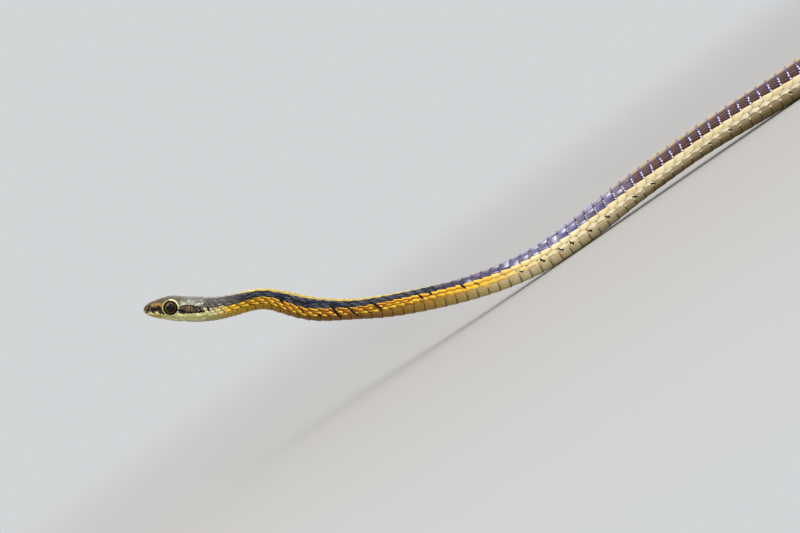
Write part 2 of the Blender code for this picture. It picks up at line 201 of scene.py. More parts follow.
# %% Walk the axis
def walk():
    """Points, slopes and headings of the axis, one every STEP."""
    slopes = np.radians(along_table(CLIMB, GRID)) * (1.0 - fade(GRID, *LIES_FLAT))
    share = np.clip((GRID - SWEEP_START) / (TOTAL - SWEEP_START), 0.0, 1.0)
    each = np.where(GRID > SWEEP_START, STEP / (WAVE_FIRST + (WAVE_LAST - WAVE_FIRST) * share), 0.0)
    swing = SWING + (TAIL_SWING - SWING) * fade(GRID, TAIL_EASES_FROM, TOTAL)
    swing = swing * fade(GRID, SWEEP_START - SWEEP_LEAD, SWEEP_GROWN)
    headings = np.radians(swing) * np.sin(2.0 * np.pi * np.cumsum(each))
    runs = np.stack([
        np.cos(slopes) * np.cos(headings),
        np.cos(slopes) * np.sin(headings),
        np.sin(slopes),
    ], axis=1) * STEP
    points = np.concatenate([np.zeros((1, 3)), np.cumsum(runs[:-1], axis=0)])
    touch = int(TOUCH_DOWN / STEP)
    drop = size("below", GRID) * BELLY_PRESSED
    points = points - points[touch]
    points[:, 2] += drop[touch]
    points[:, 2] += (drop - points[:, 2]) * fade(GRID, *LIES_FLAT)
    return points, slopes, headings


POINTS, SLOPES, HEADINGS = walk()
print(len(POINTS), "points of the axis")


def axes_at(distance):
    """Point of the axis and the directions left, tailward and up there, for arrays of distances."""
    distance = np.asarray(distance, dtype=float)
    point = np.stack([np.interp(distance, GRID, POINTS[:, i]) for i in range(3)], axis=-1)
    slope = np.interp(distance, GRID, SLOPES)
    heading = np.interp(distance, GRID, HEADINGS)
    nothing = np.zeros_like(heading)
    left = np.stack([np.sin(heading), -np.cos(heading), nothing], axis=-1)
    back = np.stack([
        np.cos(slope) * np.cos(heading), np.cos(slope) * np.sin(heading), np.sin(slope),
    ], axis=-1)
    return point, left, back, np.cross(left, back)


# %% Put the line on the solids by the left eye
# Place of an eye's middle behind the snout and over the axis, how far out it is, and its radii
EYE_PLACE = (9.25, 0.85)
EYE_OUT = 3.30
EYE_RADII = (1.75, 2.25, 2.25)


def head_place(back, across, up):
    """A place in the head's own frame, in millimetres, as a point of the part."""
    point, left, along, rise = axes_at(0.0)
    return point + left * across + along * back + rise * up


eye_low, eye_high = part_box("eye_left")
eye_centre = (np.array(eye_low) + np.array(eye_high)) / 2.0 / MM
POINTS = POINTS + (eye_centre - head_place(EYE_PLACE[0], EYE_OUT, EYE_PLACE[1]))
print("snout at", np.round(head_place(0.0, 0.0, 0.0), 2), "mm")

# %% [markdown]
# ## The section of the body
# The body is a little deeper than wide and flat below. A superellipse gives that with one number
# for its squareness. The place round the body is an angle: -90 is the middle of the belly, 0 is
# the animal's left side and 90 the spine.


# %% Section and surface
def power(value, exponent):
    """A power that keeps the sign of its base."""
    return np.sign(value) * np.abs(value) ** exponent


# The snout rounds off over this distance
SNOUT_ROUND = 2.0
SNOUT_POWER = 0.5
# In the wide bends the sides are drawn in a little, so that lifted scales stay as wide as the solids
DRAWN_IN = 0.34
DRAWN_FROM = (280.0, 330.0)
DRAWN_TO = (600.0, 760.0)


def section(distance, angle, grow=0.0):
    """Across and up of the surface, for arrays of distances and angles in degrees."""
    turn = np.radians(angle)
    rise, along = np.sin(turn), np.cos(turn)
    top = rise > 0.0
    reach = np.maximum(distance, SNOUT_ROUND)
    tall = np.where(top, size("above", reach), size("below", reach))
    square = np.where(top, size("square_above", distance), size("square_below", distance))
    blunt = np.clip(distance / SNOUT_ROUND, 0.0, 1.0) ** SNOUT_POWER
    inward = DRAWN_IN * window(distance, DRAWN_FROM, DRAWN_TO)
    across = (size("half", reach) * blunt + grow - inward) * power(along, 2.0 / square)
    up = (tall * blunt + grow) * power(rise, 2.0 / square)
    return across, up


def to_world(distance, across, up, floor=0.0):
    """Points of the part for places given by distance, across and up. None is under the floor."""
    point, left, _, rise = axes_at(distance)
    spots = point + left * across[..., None] + rise * up[..., None]
    spots[..., 2] = np.maximum(spots[..., 2], floor)
    return spots


left_side = section(np.array([10.0, 100.0, 450.0]), np.zeros(3))[0]
print("half widths at head, neck and trunk:", np.round(left_side, 2), "mm")

# %% [markdown]
# ## Colours and the node helper
# Every colour is written as a screen colour and turned to linear light by one function. One small
# helper adds a shader node with its settings and its links.


# %% Helpers for materials
def colour(code):
    """Linear colour from a hex code such as #C8A050."""
    channels = [int(code[i:i + 2], 16) / 255.0 for i in (1, 3, 5)]
    linear = [c / 12.92 if c <= 0.04045 else ((c + 0.055) / 1.055) ** 2.4 for c in channels]
    return (*linear, 1.0)


def node(tree, kind, settings=(), **inputs):
    """Add a node. Settings are its properties; inputs are values or sockets, by name or number."""
    added = tree.nodes.new(kind)
    for name, value in dict(settings).items():
        setattr(added, name, value)
    for name, value in inputs.items():
        socket = added.inputs[int(name[1:])] if name[0] == "_" else added.inputs[name.replace("_", " ")]
        if isinstance(value, bpy.types.NodeSocket):
            tree.links.new(value, socket)
        else:
            socket.default_value = value
    return added


def new_material(name):
    """A material with its node tree and its Principled shader."""
    material = bpy.data.materials.new(name)
    material.use_nodes = True
    return material, material.node_tree, material.node_tree.nodes["Principled BSDF"]


def set_stops(ramp, stops):
    """Give a colour ramp its stops: (position, hex code) from low to high."""
    elements = ramp.color_ramp.elements
    while len(elements) < len(stops):
        elements.new(0.5)
    for element, (position, code) in zip(elements, stops):
        element.position = position
        element.color = colour(code)


def deselect_all():
    for thing in bpy.context.selected_objects:
        thing.select_set(False)


def pick(*things):
    """Select only these objects and make the first one active."""
    deselect_all()
    for thing in things:
        thing.select_set(True)
    bpy.context.view_layer.objects.active = things[0]


print("screen grey #808080 is", round(colour("#808080")[0], 3), "in linear light")

# %% [markdown]
# ## The camera
# The photograph looks straight at the animal's left side through a long lens, with its frame
# tilted: the body there runs up to the right and the head lies level. Here the trunk rests on a
# level floor, so the camera is rolled by the same angle and the picture keeps its framing. Its
# place is worked out from two points of the picture: where the belly meets the floor, and the middle.

# %% Camera
PICTURE_WIDTH = 800
MM_PER_PIXEL = 0.338
ROLL = 34.5
RAISED = 3.0
DISTANCE = 1300.0
SENSOR = 36.0
CLIP = (0.01, 50.0)
TOUCH_PIXEL = (575.1, 252.6)
MIDDLE_PIXEL = (400.0, 266.5)


def place_camera():
    """Camera at the photograph's viewing angle, framed on the place where the belly touches down."""
    shift_u = (MIDDLE_PIXEL[0] - TOUCH_PIXEL[0]) * MM_PER_PIXEL
    shift_w = -(MIDDLE_PIXEL[1] - TOUCH_PIXEL[1]) * MM_PER_PIXEL
    roll = math.radians(ROLL)
    touch = POINTS[int(TOUCH_DOWN / STEP)]
    target = Vector((
        touch[0] + shift_u * math.cos(roll) + shift_w * math.sin(roll),
        touch[1],
        -shift_u * math.sin(roll) + shift_w * math.cos(roll),
    ))
    raised = math.radians(RAISED)
    toward = Vector((0.0, math.cos(raised), -math.sin(raised)))
    level_up = Vector((0.0, math.sin(raised), math.cos(raised)))
    right = Vector((math.cos(roll), 0.0, 0.0)) - level_up * math.sin(roll)
    up = Vector((math.sin(roll), 0.0, 0.0)) + level_up * math.cos(roll)
    data = bpy.data.cameras.new("camera")
    data.sensor_width = SENSOR
    data.lens = SENSOR * DISTANCE / (PICTURE_WIDTH * MM_PER_PIXEL)
    data.clip_start, data.clip_end = CLIP
    camera = bpy.data.objects.new("camera", data)
    bpy.context.scene.collection.objects.link(camera)
    spot = (target - toward * DISTANCE) * MM
    camera.matrix_world = Matrix((
        (right.x, up.x, -toward.x, spot.x),
        (right.y, up.y, -toward.y, spot.y),
        (right.z, up.z, -toward.z, spot.z),
        (0.0, 0.0, 0.0, 1.0),
    ))
    bpy.context.scene.camera = camera
    return data.lens


print("lens", round(place_camera(), 1), "mm")

# %% [markdown]
# ## The light
# Glossy scales show every lamp as a highlight, so the lamps are few and large: a warm one high on
# the photograph's left, a wide cool one overhead as an open sky would be, a weak one near the
# camera that keeps the belly from going black, and one behind that lifts the outline.

# %% Lamps
# Name, place in metres, width, power in watts and tint
LAMPS = (
    ("key", (-0.45, -0.60, 1.25), 0.9, 16.0, "#FFF4E2"),
    ("sky", (0.25, 0.35, 1.30), 1.5, 9.0, "#E2EAFF"),
    ("fill", (0.70, -1.20, 0.45), 1.2, 6.0, "#FFFFFF"),
    ("back", (-0.20, 1.25, 0.70), 0.8, 2.5, "#F2F5FF"),
)
LAMPS_AIM = Vector((0.0, 0.0, 0.03))

for name, spot, width, watts, tint in LAMPS:
    light = bpy.data.lights.new(name, "AREA")
    light.size = width
    light.energy = watts
    light.color = colour(tint)[:3]
    lamp = bpy.data.objects.new(name, light)
    bpy.context.scene.collection.objects.link(lamp)
    lamp.location = spot
    lamp.rotation_euler = (LAMPS_AIM - Vector(spot)).to_track_quat("-Z", "Y").to_euler()
print(len(LAMPS), "lamps,", sum(lamp[3] for lamp in LAMPS), "watts")

# %% [markdown]
# ## The studio
# The model stands alone on pale matt card. One large plane is the card, and the world's colour is
# the wall behind it and an even light from all sides. A plane's far edge would draw a horizon
# through the picture, so further out the card's shader is mixed into a plain glow of the wall's
# own colour.

# %% World and floor
world = bpy.data.worlds.new("studio")
world.use_nodes = True
WORLD_TINT = "#D3D5D7"
background = world.node_tree.nodes["Background"]
background.inputs["Color"].default_value = colour(WORLD_TINT)
background.inputs["Strength"].default_value = 1.0
bpy.context.scene.world = world
bpy.context.scene.view_settings.view_transform = "Standard"

FLOOR_SIZE = 12.0
FLOOR_DROP = 0.0001
CARD_TURNS_TO_WALL = (0.16, 0.75)
bpy.ops.mesh.primitive_plane_add(size=FLOOR_SIZE, location=(0.0, 0.0, -FLOOR_DROP))
floor = bpy.context.active_object
floor.name = "floor"
# Matt studio card: no gloss, and far away it takes the tone of the wall, so no horizon shows
material, tree, shader = new_material("matt_studio_card")
shader.inputs["Base Color"].default_value = colour("#A1A09E")
shader.inputs["Roughness"].default_value = 0.9
shader.inputs["Specular IOR Level"].default_value = 0.05
place = node(tree, "ShaderNodeTexCoord").outputs["Object"]
away = node(tree, "ShaderNodeVectorMath", {"operation": "LENGTH"}, _0=place).outputs["Value"]
smooth = {"interpolation_type": "SMOOTHSTEP"}
near, far = CARD_TURNS_TO_WALL
share = node(tree, "ShaderNodeMapRange", smooth, _0=away, _1=near, _2=far).outputs[0]
wall = node(tree, "ShaderNodeEmission", Color=colour(WORLD_TINT), Strength=1.0).outputs[0]
both = node(tree, "ShaderNodeMixShader", _0=share, _1=shader.outputs[0], _2=wall).outputs[0]
tree.links.new(both, tree.nodes["Material Output"].inputs["Surface"])
floor.data.materials.append(material)
print("floor of", FLOOR_SIZE, "m, the colour of the wall from", far, "m on")

# %% [markdown]
# ## Round the body: rows of scales
# This snake has fifteen rows of scales. The row along the spine is wide and six-sided, the four
# rows below the next one are very narrow, and the two lowest are large again. Under them the belly
# plates run right across and turn up at both sides. A table of angles says where each row lies.

# %% Rows, and the roll of the body
# Row number: its middle and half its width, in degrees over the side's middle line
TRUNK_ROWS = {
    1: (-19.5, 14.5), 2: (2.5, 9.0), 3: (15.6, 5.3), 4: (25.8, 5.3), 5: (36.0, 5.3), 6: (46.3, 5.3),
    7: (59.8, 9.3), 8: (90.0, 22.0),
}
# On the neck three narrow, slanting rows stand where the trunk has two
NECK_ROWS = {1.1: (-18.5, 7.4), 1.6: (-5.7, 5.9), 2.1: (5.7, 5.9)}
NECK_ROWS.update({row: place for row, place in TRUNK_ROWS.items() if row > 2})
NECK_ROWS_END = 84.0
TAIL_ROWS = {1: (-10.0, 14.0), 3: (16.0, 12.0), 5: (38.0, 10.5), 7: (60.0, 12.0), 8: (90.0, 19.0)}
TIP_ROWS = {1: (-4.0, 20.0), 4: (34.0, 19.0), 8: (78.0, 26.0)}
# Upper edge of the belly plates: on the trunk their arched ends lie over the lowest row
BELLY_EDGE = [(85.0, -23.0), (112.0, -20.5), (140.0, -17.5), (172.0, -14.5), (200.0, -13.5)]
# The trunk is rolled a little to its left where it comes down, so that the belly shows
BODY_ROLL = [
    (0, 0), (24, 0), (28, 5), (34, 7), (40, 6), (47, 1), (55, -6), (61, 0), (68, 3), (78, 9),
    (86, 17), (94, 20), (106, 20), (118, 18), (126, 16), (137, 14), (146, 11), (155, 8), (165, 5),
    (178, 1), (190, -1), (202, 0), (214, 4), (226, 7), (242, 4), (262, 1), (290, 0),
]
ROLL_AT = along_table(BODY_ROLL, FINE)


def rolled(distance, angle):
    """The angle with the body's own roll added."""
    return angle + np.interp(distance, FINE, ROLL_AT)


# Distance between one belly plate and the next, which is also the scales' length
PITCH = [
    (18, 1.5), (24, 2.2), (30, 2.9), (40, 3.2), (60, 3.35), (100, 3.65), (150, 3.85), (200, 3.98),
    (450, 4.05), (640, 3.9), (700, 3.3), (760, 3.0), (900, 2.5), (1000, 2.0), (1050, 1.4),
]
FIRST_STATION = 13.0
LAST_SPACE = 2.0
STATIONS = [FIRST_STATION]
while STATIONS[-1] < TOTAL - LAST_SPACE:
    STATIONS.append(STATIONS[-1] + reading(PITCH, STATIONS[-1]))
STATIONS = np.array(STATIONS)
print(len(STATIONS), "cross rows of scales")

# %% Which row, and which marking, lies at an angle
ANGLE_KNOTS = [-90.0, -26.0, -18.0, 2.5, 15.6, 25.8, 36.0, 46.3, 59.8, 68.5, 90.0]
ROW_KNOTS = [0.0, 0.4, 1.0, 2.0, 3.0, 4.0, 5.0, 6.0, 7.0, 7.5, 8.0]


def row_at(angle):
    """Row number, with fractions, under a folded angle: -90 at the belly, 90 at the spine."""
    return np.interp(angle, ANGLE_KNOTS, ROW_KNOTS)


# Edges of the dark band, in degrees: it is deep on the neck and runs up to the spine behind it
BAND_EDGE = [
    (0, 20), (24, 8), (31, 2), (40, 8), (60, 9), (84, 10), (120, 10), (141, 9), (190, 8), (1050, 10),
]
STRIPE_EDGE = [
    (0, 50), (24, 62), (30, 59), (40, 52), (47, 56), (55, 61), (62, 58), (68, 55), (78, 51), (86, 49),
    (94, 52), (106, 52), (118, 52), (160, 57), (178, 57), (1050, 54),
]
BAND_EDGE_AT = along_table(BAND_EDGE, FINE)
STRIPE_EDGE_AT = along_table(STRIPE_EDGE, FINE)


def over_band_edge(distance, angle):
    """Degrees above the lower edge of the dark band."""
    return angle - np.interp(distance, FINE, BAND_EDGE_AT)


def over_stripe_edge(distance, angle):
    """Degrees above the lower edge of the pale stripe along the spine."""
    return angle - np.interp(distance, FINE, STRIPE_EDGE_AT)


def folded(angle):
    """Angle over the side's middle line, the same on both sides."""
    turned = (np.asarray(angle, dtype=float) + 90.0) % 360.0 - 90.0
    return np.where(turned > 90.0, 180.0 - turned, turned)


def add_number(mesh, name, values):
    """Store one number for each vertex, for the material to read."""
    layer = mesh.attributes.new(name, "FLOAT", "POINT")
    layer.data.foreach_set("value", np.ascontiguousarray(values, dtype=np.float32))


band = [round(float(np.interp(120.0, FINE, edge))) for edge in (BAND_EDGE_AT, STRIPE_EDGE_AT)]
print("the band of the neck runs from", band[0], "to", band[1], "degrees")

# %% [markdown]
# ## The head's shields
# The top and sides of the head carry large smooth shields with fine seams between them. On the
# real animal a seam is a narrow groove about a tenth of a millimetre deep. The seams are drawn as
# a few lines, seen from above for the crown, from the side for the lips and cheeks, and from below
# for the chin. Every vertex near a line sinks a little, and the shields between swell.

# %% Seam lines of the head
# (behind the snout, height) of the closed mouth
MOUTH_LINE = [
    (-2.0, -1.45), (1.0, -1.55), (4.0, -1.90), (8.0, -2.20), (13.0, -2.50), (18.0, -2.50),
    (20.6, -2.05), (21.6, -1.75),
]
# (across, behind the snout), seen from above
CROWN_LINES = [
    [(0.0, 1.4), (0.9, 1.5), (1.7, 2.0), (2.3, 3.5), (3.15, 6.5)],
    [(0.0, 1.4), (0.0, 7.05)],
    [(0.0, 3.75), (2.3, 3.5)],
    [(0.0, 7.05), (1.95, 7.05), (3.15, 6.5)],
    [(1.95, 7.05), (1.62, 10.4), (1.35, 12.4), (0.0, 13.1), (0.0, 19.4)],
    [(1.35, 12.4), (2.7, 12.75), (4.1, 12.25)],
    [(4.1, 12.25), (4.5, 15.4), (3.1, 19.2), (1.4, 20.3), (0.0, 19.4)],
]
# (behind the snout, height), seen from the side
SIDE_LINES = [
    [(1.25, -1.5), (1.45, -0.2), (1.55, 1.2), (1.9, 2.0)],
    [(1.45, -0.3), (4.0, -0.1), (6.2, -0.25), (7.3, -0.95)],
    [(4.0, -0.1), (3.85, 2.3)],
    [(6.15, -0.2), (6.1, 2.2), (6.6, 3.4)],
    [(11.4, -0.85), (12.2, -0.65), (14.4, -0.5), (18.2, -0.6), (20.8, -1.3)],
    [(12.1, -0.65), (12.3, 1.0), (11.9, 2.6)],
    [(11.6, 0.95), (14.3, 1.2), (18.6, 1.3)],
    [(14.2, -0.5), (14.3, 1.2), (14.4, 3.0)],
    [(18.2, -0.6), (18.6, 1.3), (18.2, 3.1)],
    [(2.2, 1.45), (2.3, 2.3)],
]
# Seams between the shields of the upper lip and of the lower one, where they meet the mouth
LIP_EDGES = [3.0, 4.7, 6.3, 8.0, 10.0, 12.3, 14.9, 17.6, 20.3]
LIP_LEAN = 0.35
LIP_TOP = [
    (1.3, 1.2), (4.0, 1.75), (6.5, 1.8), (8.0, 1.0), (10.0, 1.0), (12.3, 1.75), (18.0, 1.9), (20.3, 0.9),
]
CHIN_EDGES = [2.2, 4.0, 5.8, 7.6, 9.6, 12.0, 14.8, 17.8]
CHIN_DEPTH = 1.05
CHIN_ROW = (2.4, 5.0, 8.0, 12.0, 16.0, 19.5)
MOUTH_FROM = 0.25
# (across, behind the snout), seen from below
CHIN_LINES = [
    [(0.0, 2.4), (0.9, 2.3), (1.5, 3.1), (1.75, 7.3), (1.95, 12.3), (0.5, 13.2), (0.0, 12.4)],
    [(0.0, 2.4), (0.0, 12.4)],
    [(0.0, 7.5), (1.75, 7.3)],
]
DOT_SPACING = 0.07
MOUTH_SPACING = 0.06
print(len(CROWN_LINES), "lines on the crown,", len(SIDE_LINES), "on each side")


def dense(line):
    """Points close together along a line of corners."""
    points = []
    for (a, b), (c, d) in zip(line, line[1:]):
        count = max(2, int(math.hypot(c - a, d - b) / DOT_SPACING))
        points += [(a + (c - a) * i / count, b + (d - b) * i / count) for i in range(count)]
    return points + [line[-1]]


def level_of(line, distance):
    """Height of a line of straight pieces, for arrays of distances."""
    return np.interp(distance, [back for back, _ in line], [height for _, height in line])


def mouth_height(distance):
    """Height of the mouth's line over the axis."""
    return level_of(MOUTH_LINE, distance)


# %% Swellings of the head
# Soft swellings and hollows of the side of the head: place, reach along and up, and height
SWELLINGS = [
    (9.3, 0.9, 3.2, 2.8, 0.45),
    (5.4, 1.0, 1.9, 1.3, -0.30),
    (16.5, -0.6, 4.0, 2.2, 0.20),
]
LIP_RAISE = 0.16
LIP_WIDTH = 0.55
LIPS_END = (20.0, 22.0)
FORMS_BEGIN = (0.3, 2.5)
FORMS_END = (22.0, 27.0)


def head_section(distance, angle, grow=0.0):
    """Across and up of the head's surface with its swellings and lips."""
    across, up = section(distance, angle, grow)
    out = np.zeros_like(across)
    for where, level, reach, tall, amount in SWELLINGS:
        far = ((distance - where) / reach) ** 2 + ((up - level) / tall) ** 2
        out += amount * np.exp(-2.0 * far)
    from_mouth = (up - mouth_height(distance)) / LIP_WIDTH
    lips = LIP_RAISE * np.exp(-0.5 * (np.abs(from_mouth) - 1.0) ** 2)
    out += lips * (1.0 - fade(distance, *LIPS_END))
    out *= np.abs(np.cos(np.radians(angle))) * window(distance, FORMS_BEGIN, FORMS_END)
    return across + np.sign(across) * out, up


# %% From a drawn line to places on the head
TURNS_TOP = np.linspace(0.0, 90.0, 361)
TURNS_LOW = np.linspace(-90.0, 0.0, 361)
TURNS_SIDE = np.linspace(-89.0, 89.0, 713)


def from_above(across, back, turns=TURNS_TOP):
    """Angle of the surface over (or under) a place seen in plan."""
    reach, _ = head_section(np.full(turns.shape, back), turns)
    order = np.argsort(reach)
    return float(np.interp(across, reach[order], turns[order]))


def from_side(back, up):
    """Angle of the surface at a place seen from the side."""
    _, heights = head_section(np.full(TURNS_SIDE.shape, back), TURNS_SIDE)
    return float(np.interp(up, heights, TURNS_SIDE))


def seam_places():
    """(distance, angle) of points along all seams of the left half, and of the mouth."""
    lip_lines = []
    for edge in LIP_EDGES:
        top = mouth_height(edge) + reading(LIP_TOP, edge)
        lip_lines.append([(edge, float(mouth_height(edge))), (edge + LIP_LEAN, float(top))])
    for edge in CHIN_EDGES:
        low = mouth_height(edge) - CHIN_DEPTH
        lip_lines.append([(edge, float(mouth_height(edge))), (edge + LIP_LEAN, float(low))])
    low_edge = [(d, float(mouth_height(d)) - CHIN_DEPTH) for d in CHIN_ROW]
    seams = []
    for line in CROWN_LINES:
        seams += [(back, from_above(across, back)) for across, back in dense(line)]
    for line in SIDE_LINES + lip_lines + [low_edge]:
        seams += [(back, from_side(back, up)) for back, up in dense(line)]
    for line in CHIN_LINES:
        seams += [(back, from_above(across, back, TURNS_LOW)) for across, back in dense(line)]
    along_mouth = np.arange(MOUTH_FROM, MOUTH_LINE[-1][0], MOUTH_SPACING)
    mouth = [(d, from_side(d, float(mouth_height(d)))) for d in along_mouth]
    return np.array(seams), np.array(mouth)


def tree_of(places):
    """Search tree of seam points on both halves, in the head's own frame."""
    both = np.concatenate([places, np.stack([places[:, 0], 180.0 - places[:, 1]], axis=1)])
    across, up = head_section(both[:, 0], both[:, 1])
    found = KDTree(len(both))
    for i, spot in enumerate(zip(across, both[:, 0], up)):
        found.insert(spot, i)
    found.balance()
    return found


seams, mouth = seam_places()
seam_tree, mouth_tree = tree_of(seams), tree_of(mouth)
print(len(seams), "seam points and", len(mouth), "mouth points on one side")

# %% [markdown]
# ## The skin
# One skin runs from the snout to the tip of the tail, so no seam shows between the solids. It
# starts as two flat grids, a fine one for the head and a coarser one for the body, because a grid
# brings an even net of faces and a flat map with it. Each is rolled up by moving its vertices, its
# two long edges are merged, and the two tubes are bridged under the scales of the neck.

# %% Relief of the head
GROOVE_DEPTH = 0.13
GROOVE_WIDTH = 0.13
GROOVES_END = (20.5, 21.5)
SHIELD_SWELL = 0.07
SHIELD_EDGE = (0.0, 0.9)
SHIELDS_END = (20.5, 22.0)
MOUTH_DEPTH = 0.36
MOUTH_WIDTH = 0.14
# How far out from the middle plane the eye's side of the head begins
EYE_SIDE = (1.0, 2.5)
# Round the eye: the edge of the lid, its raised rim, the socket, and a ring of small shields
LID_EDGE = (2.9, 3.1)
EYE_RIM = 0.22
EYE_RIM_PLACE = (2.55, 0.28)
SOCKET_DEPTH = 1.6
SOCKET_EDGE = (2.05, 2.40)
BEADS = 8
BEAD_DEPTH = 0.10
BEAD_RING = (2.65, 0.35)
BEAD_NARROW = 12
# The nostril is an oval pit with a low rim, on the side of the snout
NOSE_SIDE = (1.2, 1.9)
NOSTRIL = (2.1, 1.3)
NOSTRIL_FLAT = 1.25
NOSTRIL_EDGE = (0.144, 0.396)
NOSTRIL_DEPTH = 0.75
NOSTRIL_RIM = 0.08
NOSTRIL_RIM_PLACE = (0.6, 0.2)


def head_relief(distance, angle):
    """How far each vertex of the head is moved in or out, with its nearness to a seam."""
    across, up = head_section(distance, angle)
    seam_near = np.empty(len(distance))
    mouth_near = np.empty(len(distance))
    for i, spot in enumerate(zip(across, distance, up)):
        seam_near[i] = seam_tree.find(spot)[2]
        mouth_near[i] = mouth_tree.find(spot)[2]
    side = fade(np.abs(across), *EYE_SIDE)
    from_eye = np.hypot(distance - EYE_PLACE[0], up - EYE_PLACE[1])
    off_lid = 1.0 - side * (1.0 - fade(from_eye, *LID_EDGE))
    seam = bell(seam_near, 0.0, GROOVE_WIDTH) * off_lid
    shielded = 1.0 - fade(distance, *SHIELDS_END)
    move = SHIELD_SWELL * fade(seam_near, *SHIELD_EDGE) * shielded * off_lid
    move -= GROOVE_DEPTH * seam * (1.0 - fade(distance, *GROOVES_END))
    move -= MOUTH_DEPTH * bell(mouth_near, 0.0, MOUTH_WIDTH)
    move += side * EYE_RIM * bell(from_eye, *EYE_RIM_PLACE)
    move -= side * SOCKET_DEPTH * (1.0 - fade(from_eye, *SOCKET_EDGE))
    beads = 0.5 + 0.5 * np.cos(BEADS * np.arctan2(up - EYE_PLACE[1], distance - EYE_PLACE[0]))
    move -= side * BEAD_DEPTH * beads ** BEAD_NARROW * bell(from_eye, *BEAD_RING)
    from_nose = np.hypot(distance - NOSTRIL[0], (up - NOSTRIL[1]) * NOSTRIL_FLAT)
    nose_side = fade(np.abs(across), *NOSE_SIDE)
    move -= nose_side * NOSTRIL_DEPTH * (1.0 - fade(from_nose, *NOSTRIL_EDGE))
    move += nose_side * NOSTRIL_RIM * bell(from_nose, *NOSTRIL_RIM_PLACE)
    return move, seam, mouth_near


print("seams are", GROOVE_DEPTH, "mm deep, and the eye sits", SOCKET_DEPTH, "mm deep")

# %% Roll a grid into a tube
HEAD_END = 27.0
HEAD_COLUMNS = 256
BODY_COLUMNS = 64
# Rings of vertices: close together on the round tip of the snout, and evenly spaced behind it
TIP_RINGS = 34
TIP_START = 0.02
TIP_LENGTH = 2.0
HEAD_FROM = 2.13
HEAD_SPACING = 0.115
# A gap is left between the two tubes for the bridge; the thin tail has closer rings
BRIDGE = 0.6
BODY_SPACING = 2.4
TAIL_SPACING = 1.6
TAIL_IS_THIN = 800.0
LAST_RINGS = (1.5, 0.2)
SKIN_UNDER_SCALES = -0.34
# The skin sinks under the scales behind the crown, the cheeks and the throat
CROWN_SINKS = (19.6, 21.5)
CHEEK_SINKS = (20.2, 22.5)
THROAT_SINKS = (13.0, 14.5)
THROAT_EDGE = (-66.0, -58.0)
CHEEK_BELOW = -8.0
SKIN_FLOOR = 0.12
SKIN_FULL_DEPTH = 3.2
SKIN_THINNEST = 0.25


def grid_tube(name, distances, columns):
    """A flat grid rolled round the axis. Returns the object, its distances and its angles."""
    deselect_all()
    bpy.ops.mesh.primitive_grid_add(x_subdivisions=columns, y_subdivisions=len(distances) - 1, size=1.0)
    tube = bpy.context.active_object
    tube.name = name
    down, round_ = np.meshgrid(distances, np.linspace(-90.0, 270.0, columns + 1), indexing="ij")
    return tube, down.ravel(), round_.ravel()


def place_vertices(thing, spots):
    """Move all vertices of an object to places in millimetres."""
    thing.data.vertices.foreach_set("co", (spots * MM).astype(np.float32).ravel())
    thing.data.update()


def close_tube(tube):
    """Merge the two long edges and turn all faces outwards."""
    pick(tube)
    bpy.ops.object.mode_set(mode="EDIT")
    bpy.ops.mesh.select_all(action="SELECT")
    bpy.ops.mesh.remove_doubles(threshold=1e-7)
    bpy.ops.mesh.normals_make_consistent(inside=False)
    bpy.ops.object.mode_set(mode="OBJECT")


def outline_of_head():
    """Rows of the head, close together where the snout rounds off."""
    tip = TIP_START + TIP_LENGTH * np.linspace(0.0, 1.0, TIP_RINGS) ** 2
    return np.concatenate([tip, np.arange(HEAD_FROM, HEAD_END + 0.01, HEAD_SPACING)])


def head_tube():
    """The head's skin with its relief, and the facts that its masks need."""
    tube, distance, angle = grid_tube("skin", outline_of_head(), HEAD_COLUMNS)
    move, seam, mouth_near = head_relief(distance, angle)
    turned = folded(angle)
    throat = fade(distance, *THROAT_SINKS) * (1.0 - fade(turned, *THROAT_EDGE))
    lower = np.maximum(fade(distance, *CHEEK_SINKS), throat)
    sunk = np.where(turned < CHEEK_BELOW, lower, fade(distance, *CROWN_SINKS))
    across, up = head_section(distance, angle, SKIN_UNDER_SCALES * sunk)
    steep = np.maximum(np.hypot(across, up), 0.5)
    across, up = across + move * across / steep, up + move * up / steep
    place_vertices(tube, to_world(distance, across, up))
    return tube, distance, angle, seam, mouth_near, across, up


def body_rows():
    """Distances of the body's rings of vertices, closer together on the thin tail."""
    spaced = [HEAD_END + BRIDGE]
    while spaced[-1] < TOTAL - LAST_RINGS[0]:
        spaced.append(spaced[-1] + (BODY_SPACING if spaced[-1] < TAIL_IS_THIN else TAIL_SPACING))
    return np.array(spaced[:-1] + [TOTAL - LAST_RINGS[1]])


def body_tube():
    """The skin of neck, trunk and tail, a little under the scales and thinner with them."""
    tube, distance, angle = grid_tube("skin_body", body_rows(), BODY_COLUMNS)
    thin = np.clip(size("below", distance) / SKIN_FULL_DEPTH, SKIN_THINNEST, 1.0)
    across, up = section(distance, angle, SKIN_UNDER_SCALES * thin)
    place_vertices(tube, to_world(distance, across, up, SKIN_FLOOR))
    return tube, distance, angle


print(len(outline_of_head()), "rings on the head and", len(body_rows()), "on the body")
